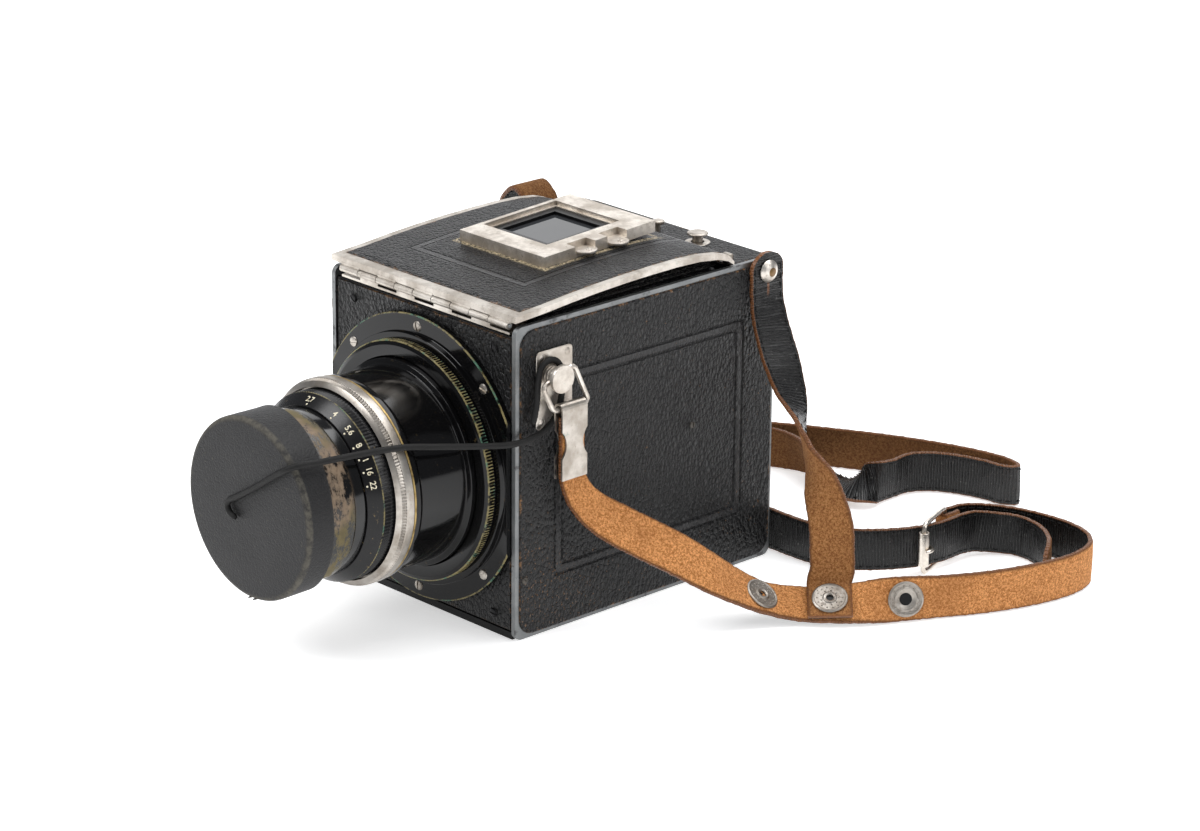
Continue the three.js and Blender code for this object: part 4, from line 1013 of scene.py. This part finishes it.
LID_UNDERSIDE = [
    (FRONT, 113.8), (-47.5, 114.7), (-35, 115.8), (-23, 116.6), (-10, 117.2), (2, 117.5),
    (14, 117.6), (24.5, 117.2), (33, 116.1), (38, 114.6), (41, 112.6),
]
LID_SHEET = 2.2


def lid_top(y):
    """Height of the lid's upper face."""
    for (y0, z0), (y1, z1) in zip(LID_UNDERSIDE, LID_UNDERSIDE[1:]):
        if y <= y1:
            return z0 + (z1 - z0) * (y - y0) / (y1 - y0) + LID_SHEET


def closed_at_rims(sheet):
    """Walls between a sheet's upper and lower faces, along its edges and round its opening."""
    with edited(sheet.data) as work:
        rims = [e for e in work.edges if len(e.link_faces) == 1]
        columns = {}
        for vertex in {v for e in rims for v in e.verts}:
            columns.setdefault((round(vertex.co.x, 7), round(vertex.co.y, 7)), []).append(vertex)
        other = {a: b for pair in columns.values() for a, b in (pair, pair[::-1])}
        made = set()
        for edge in rims:
            a, b = edge.verts
            corners = frozenset((a, b, other[a], other[b]))
            if corners not in made:
                made.add(corners)
                work.faces.new((a, b, other[b], other[a]))
    finish_mesh(sheet.data, 50)
    return sheet


def lid_leather(paint):
    """A sheet over the lid, inside its bare rim, open where the finder looks in."""
    x_low, x_high, y_low, y_high = LID_PANEL
    view_left, view_right, view_front, view_rear = FINDER_VIEW
    xs = [x_low, *[-40 + 4 * i for i in range(21)], x_high]
    ys = [y_low + (y_high - y_low) * i / 44 for i in range(45)]
    vertices, faces, index = [], [], {}

    def corner(x, y, top):
        edge = min(x - x_low, x_high - x, y - y_low, y_high - y)
        rise = 0.55 * math.sqrt(min(1.0, max(0.05, edge / 0.8))) if top else -0.15
        key = (x, y, top)
        if key not in index:
            index[key] = len(vertices)
            vertices.append((x, y, lid_top(y) + rise))
        return index[key]

    for a, b in zip(xs, xs[1:]):
        for c, d in zip(ys, ys[1:]):
            if view_left < (a + b) / 2 < view_right and view_front < (c + d) / 2 < view_rear:
                continue
            for top in (True, False):
                faces.append([corner(x, y, top) for x, y in ((a, c), (b, c), (b, d), (a, d))])
    return closed_at_rims(mesh_object("lid_leather", vertices, faces, paint, 60))


def pressed_panel(name, panel, radius, frames, base, face, paint):
    """A side panel from base out to its face, with rounded edges and thin frames pressed into it."""
    depth = 0.3

    def outline(bounds, inset, corner):
        a0, a1, b0, b1 = bounds
        return rounded_outline(a0 + inset, a1 - inset, b0 + inset, b1 - inset, corner, 4)

    loops = [(outline(panel, 0, radius), base)]
    for inset, drop in ((0.0, 0.4), (0.12, 0.15), (0.4, 0.0)):
        loops.append((outline(panel, inset, radius - inset), face - drop))
    for bounds in frames:
        for inset, drop in ((0.0, 0.0), (0.35, depth), (0.8, depth), (1.15, 0.0)):
            loops.append((outline(bounds, inset, 1.6), face - drop))
    return skin(name, [[(x, y, z) for y, z in points] for points, x in loops], paint, 25)


def front_leather(paint):
    """The leather on the front panel, round the lens."""
    _, half_x, low_z, high_z = FRONT_PANEL
    turns = {math.radians(2 * i) for i in range(180)}
    for x in (-half_x, half_x):
        for z in (low_z, high_z):
            turns.add(math.atan2(z - LENS_Z, x) % (2 * math.pi))
    loops = [[], [], [], []]
    for turn in sorted(turns):
        c, s = math.cos(turn), math.sin(turn)
        rise = (high_z if s > 0 else low_z) - LENS_Z
        reach = min(half_x / max(abs(c), 1e-6), rise / s if abs(s) > 1e-6 else 1e6)
        for loop, radius, ahead in zip(loops, (40, reach, reach - 0.25, 40), (-1.1, -1.1, -0.3, -0.3)):
            loop.append((radius * c, FRONT - ahead, LENS_Z + radius * s))
    return skin("front_leather", loops, paint, ring=True)


def fold(outer, inner, low, high, paint):
    """A flat frame between two outlines of as many points, its outer edge rolled."""
    loops = []
    middle = (low + high) / 2
    for outline, z, pull in ((inner, low, 0), (outer, low, 0.5), (outer, middle, 0), (outer, high, 0.5),
                             (inner, high, 0)):
        cx, cy = (sum(values) / len(outline) for values in zip(*outline))
        aways = [Vector((x - cx, y - cy)).normalized() * pull for x, y in outline]
        loops.append([(x - away.x, y - away.y, z) for (x, y), away in zip(outline, aways)])
    return skin("fold", loops, paint, 60, ring=True)


def add_leathers():
    side_paint = leather_paint("side_leather", "YZ", SIDE_PANEL, band=SIDE_BAND, corner=(-56, 6))
    right = pressed_panel("side_leather_right", SIDE_PANEL, 6, SIDE_FRAMES, HALF - 0.1, HALF + 0.65,
                          side_paint)
    left = prism("side_leather_left", rounded_outline(*SIDE_PANEL, 6), "YZ", -HALF - 0.4, -HALF + 0.1,
                 side_paint, 0.2)
    settle(right, "body", "black_leather")
    settle(left, "body", "black_leather")
    front_paint = leather_paint("front_leather", "XZ", FRONT_PANEL, wear=0.8)
    settle(front_leather(front_paint), "body", "black_leather")
    for name, plane, panel, radius, low, high, rounding in FLAT_PANELS:
        paint = leather_paint(name, plane, panel)
        piece = prism(name, rounded_outline(*panel, radius), plane, low, high, paint, rounding)
        settle(piece, "body", "black_leather")
    lid_paint = leather_paint("lid_leather_paint", "XY", LID_PANEL, band=LID_BAND, lines=True,
                              glue=FINDER_FOOT)
    settle(lid_leather(lid_paint), "hood", "black_leather")

    # Every other fold is shorter and sits further left.
    fold_paint = leather_paint("hood_fold_leather", grain=0.8, wear=0.4)
    inner = rounded_outline(-33, 33, -39, 27, 2)
    folds = []
    for level in range(5):
        z = 109.35 + level
        pull = 0.0 if level % 2 else 1.1
        outer = rounded_outline(-43.6 - pull, 43.6 - pull, -49 + pull, 36.6 - pull, 2)
        folds.append(fold(outer, inner, z, z + 0.9, fold_paint))
    settle(merged("hood_folds", folds), "body", "black_leather", "hood_leather")


# ------------------------------------------------------------------ lens
STOPS = (("2.7", 94), ("4", 70), ("5.6", 55), ("8", 43.5), ("11", 35), ("16", 26.5), ("22", 17.5))


def number_mesh(text, size, paint):
    """A generic engraved number, lying in the XY plane, as a mesh."""
    curve = bpy.data.curves.new("number", "FONT")
    curve.body = text
    curve.size = size
    curve.align_x = "CENTER"
    curve.align_y = "CENTER"
    curve.extrude = 0.05
    curve.offset = 0.03
    made = linked("number", curve)
    bpy.context.view_layer.update()
    data = bpy.data.meshes.new_from_object(made.evaluated_get(bpy.context.evaluated_depsgraph_get()))
    bpy.data.objects.remove(made)
    bpy.data.curves.remove(curve)
    data.transform(Matrix.Scale(MM, 4))
    data.materials.clear()
    data.materials.append(paint)
    return linked("number", data)


def aperture_numbers(paint):
    """Stops and their dots, round the cone of the aperture ring."""
    marks = []
    for text, degrees in STOPS:
        angle = math.radians(degrees)
        outward = Vector((math.cos(angle), 0, math.sin(angle)))
        normal = (outward * 0.757 + Vector((0, -0.653, 0))).normalized()
        upward = (outward - normal * outward.dot(normal)).normalized()
        turn = turned(upward.cross(normal), upward, normal)
        number = number_mesh(text, 2.9, paint)
        dot = upright("dot", sleeve(0, 0.34, -0.1, 0.1), paint, 14, soft=0.05)
        for mark, radius, ahead in ((number, 31.25, 47.6), (dot, 29.95, 49.1)):
            place = Vector((0, FRONT - ahead, LENS_Z)) + outward * radius + normal * 0.03
            marks.append(moved(mark, Matrix.Translation(place) @ turn))
    return merged("aperture_numbers", marks)


def add_lens():
    gloss = enamel_paint("lens_gloss", 0.05, brass=0.1, base=0.002, rubbed=((50.9, 1.9),))
    toothed = enamel_paint("focus_enamel", 0.1, brass=0.1, base=0.002, rubbed=((42.3, 7.35),),
                           tips=(42.4, 4.9, 7.2))
    brown = enamel_paint("aperture_grip", 0.22, brass=0.5, base=0.005, rubbed=((32.6, 45.4),))
    nickel = nickel_paint("lens_nickel", rust=0.25, green=0.03, tone=0.44, rough=0.24, pits=0.3)

    flange = lathe("flange_disc", [
        (38.8, -0.55), (51, -0.55), (51, 2), (44.6, 2), (44.6, 4.3), (36.95, 4.3), (36.95, -10.9),
        (38.8, -10.9)], gloss, 240, soft=0.3)
    for side in (1, -1):
        clipped(flange, (side * 45.1, 0, 0), (side, 0, 0))
    settle(flange, "body", "black_metal", "lens_flange")

    focus = lathe("focus_ring_turned", [
        (36.95, 4.65), (42.5, 4.65), (42.5, 5.1), (42.5, 7), (42.5, 7.4), (40.8, 8.1), (36.95, 8.1)],
        toothed, 960, knurl=(4.8, 7.3, 240, 0.32, 42), soft=0.15)
    settle(focus, "focus", "black_metal", "focus_ring")

    barrel = lathe("barrel", [
        (27.2, -10.4), (36.55, -10.4), (36.55, 10), (34.6, 10.6), (34.6, 30.3), (35.9, 31.9), (35.9, 34.65),
        (27.2, 34.65)], gloss, 240, soft=0.3)
    edge = lathe("edge", sleeve(35.2, 36.02, 33.9, 34.68), brass_paint("lens_brass"), 240, soft=0.1)
    settle(merged("barrel_with_edge", [barrel, edge]), "lens", "black_metal", "lens_barrel")

    ring = lathe("nickel_ring_turned", [
        (27.3, 35.05), (36.2, 35.05), (36.2, 38.1), (36.05, 38.35), (35.9, 38.7), (35.5, 39.5), (35.3, 39.8),
        (33.6, 41), (33.6, 37.5), (27.3, 37.5)], nickel, 1200, knurl=(38.3, 39.7, 200, 0.4, 35), soft=0.1)
    settle(ring, "lens", "nickel", "nickel_ring")

    grip = lathe("aperture_ring_turned", [
        (27.3, 37.85), (32.95, 37.85), (32.95, 42.6), (32.95, 45.6), (32.4, 46.3), (29.4, 49.75),
        (27.3, 49.75)], brown, 960, knurl=(42.4, 45.7, 160, 0.35, 32.5), soft=0.15)
    settle(grip, "aperture", "black_metal", "aperture_ring")
    settle(aperture_numbers(number_paint()), "aperture", "black_metal")

    cell = lathe("front_cell_turned", [
        (22.95, 12), (26.85, 12), (26.85, 50.15), (29, 50.15), (29, 54.6), (29.6, 55.2), (29.6, 67.6),
        (28.6, 68.45), (25.6, 68.45), (22.95, 64)], front_cell_paint(), 240, soft=0.3)
    settle(cell, "lens", "black_metal", "front_cell")
    glass = glass_paint("lens_glass")
    for node, section in (
            ("front_glass", [(0, 56), (12, 56.4), (22.6, 58.4), (22.6, 61), (12, 63.2), (0, 64)]),
            ("rear_glass", [(0, -9), (12, -8.2), (20.6, -6), (20.6, -3), (12, -1.5), (0, -1)])):
        settle(lathe(node + "_ground", section, glass, 120, soft=0.4), "lens", "glass", node)
    repaint(steel_paint("iris_steel", 0.12), "iris_diaphragm")
    repaint(enamel_paint("lens_matt", 0.34, brass=0.5, base=0.006), "rear_cell")


def add_cap():
    """A leather cup with a rounded front edge, a slanting mouth and two seams under its skirt."""
    paint = cap_paint()
    cup = lathe("cap_cup", [
        (0, 77), (20, 76.95), (30.2, 76.75), (31.3, 76.3), (31.8, 75.3), (31.75, 70), (31.6, 62), (31.8, 54),
        (30.2, 54), (30.15, 75.3), (0, 75.35)], paint, 240, soft=0.35)
    clipped(cup, (0, FRONT - 61.05, LENS_Z), Vector((math.tan(0.156), 1, 0)).normalized())
    seams = []
    for side in (-1, 1):
        angle = math.radians(-90 + side * 2.2)
        path = [(32.0 * math.cos(angle), FRONT - 63.5 - 1.6 * i, LENS_Z + 32.0 * math.sin(angle))
                for i in range(9)]
        seams.append(tube_mesh("seam", path, 0.4, paint, 0.8, 8)[0])
    settle(cup, "cap", "black_leather", "lens_cap")
    settle(merged("cap_seam", seams), "cap", "black_leather")


# ------------------------------------------------------------------ top, finder and left side
def add_top_fittings():
    nickel = nickel_paint("top_nickel", rust=0.4, green=0.15, tone=0.6, rough=0.26)
    release, selector = (18, 52), (-1, 51)
    button = merged("release_button_turned", [
        upright("disc", [(0, 115.75), (2.9, 115.72), (3.8, 115.4), (3.8, 114.75), (0, 114.75)], nickel, 64,
                release, soft=0.25),
        upright("stem", sleeve(0, 1.9, 109.3, 115), nickel, 40, release)])
    settle(button, "release", "nickel", "release_button")
    collar = upright("release_collar", [(2.4, 111.7), (4.6, 111.7), (4.5, 112), (2.5, 112.1)], nickel, 64,
                     release, soft=0.1)
    settle(collar, "body", "nickel")
    knob = merged("selector_knob_turned", [
        upright("grip", [(0, 116), (1.8, 115.95), (2.4, 115.6), (2.4, 114.6), (1.9, 114.4), (0, 114.4)],
                nickel, 192, selector, knurl=(114.5, 115.7, 24, 0.22, 2.2), soft=0.15),
        upright("stem", sleeve(0, 1, 109.3, 115), nickel, 32, selector)])
    settle(knob, "selector", "nickel", "selector_knob")
    green = nickel_paint("catch_verdigris", rust=0.5, green=0.6, tone=0.5)
    catch = box("lid_catch_plate", (40.65, 41.65, 111.55), (44.55, 43.35, 115.55), green, 0.35)
    settle(catch, "catch", "nickel", "lid_catch")

    pale = nickel_paint("finder_nickel", rust=0.42, green=0.07, tone=0.78, rough=0.38, pits=1.0)
    repaint(pale, "finder_frame")
    repaint(enamel_paint("mask_black", 0.3), "finder_mask")
    repaint(glass_paint("finder_glass_paint", (0.035, 0.037, 0.04), 0.12), "finder_glass")
    rim = nickel_paint("lid_rim_nickel", rust=0.45, green=0.05, tone=0.6, rough=0.36)
    repaint(rim, "hood_lid", "hinge_leaf")
    repaint(steel_paint("pin_steel"), "hinge_pin")
    ears = []
    for y in (-5.7, 9.3):
        outline = [(21.2 + 4.4 * math.sin(math.pi * i / 16), y + 4.4 * math.cos(math.pi * i / 16))
                   for i in range(17)]
        ears.append(prism("ear", outline, "XY", 121.4, 122.3, pale, 0.2))
        ears.append(slotted_screw((23.2, y, 122.25), (0, 0, 1), 1.1, pale, 30, 0.5))
    settle(merged("finder_ears", ears), "hood", "nickel")


def add_left_side():
    metal = nickel_paint("winder_nickel", rust=0.35, green=0.08, tone=0.6, rough=0.25)
    plate = -HALF
    cover = plate - 11.4
    winder, dial = (10, 66), (-14, 88)

    def sideways(name, section, segments, centre, **more):
        return lathe(name, section, metal, segments, centre, "x", **more)

    knob = merged("winding_knob_turned", [
        sideways("grip", [(0, cover - 7), (9, cover - 6.9), (11, cover - 6), (11, cover), (0, cover)], 720,
                 winder, knurl=(cover - 5.8, cover - 0.4, 60, 0.4, 10.5), soft=0.4),
        sideways("stem", sleeve(0, 3, plate + 1.5, cover + 1), 48, winder),
        sideways("gear", sleeve(3, 8, plate - 7, plate - 3), 288, winder,
                 knurl=(plate - 6.9, plate - 3.1, 36, 0.5, 7.5), soft=0.2)])
    settle(knob, "winder", "nickel", "winding_knob")
    disc = merged("speed_dial_turned", [
        sideways("disc", [(0, cover - 2), (7.6, cover - 1.9), (8.5, cover - 1.4), (8.5, cover), (0, cover)],
                 480, dial, knurl=(cover - 1.5, cover - 0.1, 60, 0.25, 8.2), soft=0.2),
        sideways("stem", sleeve(0, 1.6, plate - 3, cover + 1), 32, dial)])
    settle(disc, "dial", "nickel", "speed_dial")
    pad = [(0, plate - 14.6), (3.2, plate - 14.5), (3.2, plate - 11.7), (0, plate - 11.6)]
    lever = merged("cocking_lever_bar", [
        box("bar", (plate - 13.2, -19.4, 41), (plate - 6, -16.6, 43.6), metal, 0.4),
        sideways("pad", pad, 48, (-18, 42.3), soft=0.3)])
    settle(lever, "lever", "nickel", "cocking_lever")
    repaint(enamel_paint("cover_enamel", 0.3, brass=0.4), "shutter_cover")
    pale = nickel_paint("cover_top_nickel", rust=0.25, green=0.05, tone=0.7)
    strip = box("shutter_cover_top", (plate - 10.6, -29.4, BODY_TOP - 0.1),
                (plate - 0.9, 27.6, BODY_TOP + 0.6), pale, 0.25)
    settle(strip, "body", "nickel")


# ------------------------------------------------------------------ lugs, studs, the clip and the inside
def add_lug(side, word, worn):
    """A strap lug: a riveted plate, and a ribbed post with a head. side is 1 on the right."""
    def across(name, radius, a, b):
        return lathe(name, sleeve(0, radius, side * a, side * b), worn, 96, (-48.8, 94), "x", soft=0.2)
    faces = sorted((side * 48.15, side * 48.75))
    plate = prism("plate", rounded_outline(-53.4, -37, 74.5, 102.1, 1.6), "YZ", *faces, worn, 0.18)
    parts = [plate, across("post", 3.1, 48.4, 56), across("head", 4.9, 55.6, 57.15)]
    parts += [across("rib", 3.4, x - 0.35, x + 0.35) for x in (49.6, 51.0, 52.4, 53.8, 55.0)]
    crown = [(0, 0.35), (0.7, 0.3), (1.3, 0), (1.3, -0.2), (0, -0.2)]
    for y, z in ((-50.9, 99.8), (-39.4, 99.8), (-50.9, 76.9), (-39.4, 76.9)):
        parts.append(moved(upright("rivet", crown, worn, 28), facing((side * 48.75, y, z), (side, 0, 0))))
    settle(merged("lug_" + word, parts), "body", "nickel", "strap_lug_" + word)
    repaint(worn, "wire_loop_" + word)


def add_stud(side, word, y, z, worn, brown):
    """A strap stud: a domed head, worn brown at its top, on a neck."""
    crown = [(0, 2.1), (1.6, 1.95), (3, 1.35), (3.9, 0.5), (4.15, 0.03), (0, 0.03)]
    parts = [upright("dome", crown, worn, 72, soft=0.12),
             upright("top", [(0, 2.16), (1.5, 2.0), (1.9, 1.8), (0, 1.8)], brown, 48),
             upright("neck", sleeve(0, 1.7, -3.4, 0.3), worn, 32)]
    stud = moved(merged("stud_" + word, parts), facing((side * 51, y, z), (side, 0, 0)))
    settle(stud, "body", "nickel", "strap_stud_" + word)


def add_strap_fittings():
    worn = nickel_paint("lug_nickel", rust=0.45, green=0.14, tone=0.66, rough=0.3)
    brown = brass_paint("stud_worn", (0.22, 0.14, 0.08))
    for side, word in ((1, "right"), (-1, "left")):
        add_lug(side, word, worn)
    repaint(nickel_paint("clip_nickel", rust=0.4, green=0.2, tone=0.52, rough=0.26), "strap_clip")
    add_stud(1, "right", 54.4, 108.4, worn, brown)
    add_stud(-1, "left", 40, 99, worn, brown)


def add_inside():
    repaint(enamel_paint("inside_black", 0.5), "body_shell", "screen_frame", "mirror_frame", "front_panel",
            "rear_deck", "base_plate", "dark_slide", "plate_holder")
    repaint(steel_paint("side_plate_steel", 0.21), "side_plate_right", "side_plate_left",
            "curtain_roller_top", "curtain_roller_bottom")
    repaint(brass_paint("bush_brass"), "tripod_bush")
    repaint(nickel_paint("back_catch_nickel"), "back_catch")
    repaint(cloth_paint("curtain_cloth"), "shutter_curtain")
    silver = nickel_paint("mirror_silver", rust=0.1, green=0.0, tone=0.85, rough=0.03, pits=0.0)
    repaint(silver, "mirror_glass")
    repaint(glass_paint("ground_glass_paint", (0.6, 0.62, 0.6)), "ground_glass")


# ------------------------------------------------------------------ floor
FLOOR_REACH = 8.0  # in metres
FLOOR_GLOW = 0.55


def add_floor():
    p = Paint("studio_white")
    white = p.done(p.blend(p.noise(1.5, 2), (0.86, 0.86, 0.86), (0.90, 0.90, 0.90)), 0.7,
                   Emission_Color=(1.0, 1.0, 1.0), Emission_Strength=FLOOR_GLOW)
    data = bpy.data.meshes.new("studio_floor")
    corners = [(x * FLOOR_REACH, y * FLOOR_REACH, 0) for x, y in ((-1, -1), (1, -1), (1, 1), (-1, 1))]
    data.from_pydata(corners, [], [(0, 1, 2, 3)])
    data.materials.append(white)
    linked("studio_floor", data)


add_camera()
add_lights()
add_floor()
add_straps()
add_cap_cord()
add_leathers()
add_lens()
add_cap()
add_screws()
add_top_fittings()
add_left_side()
add_strap_fittings()
add_inside()
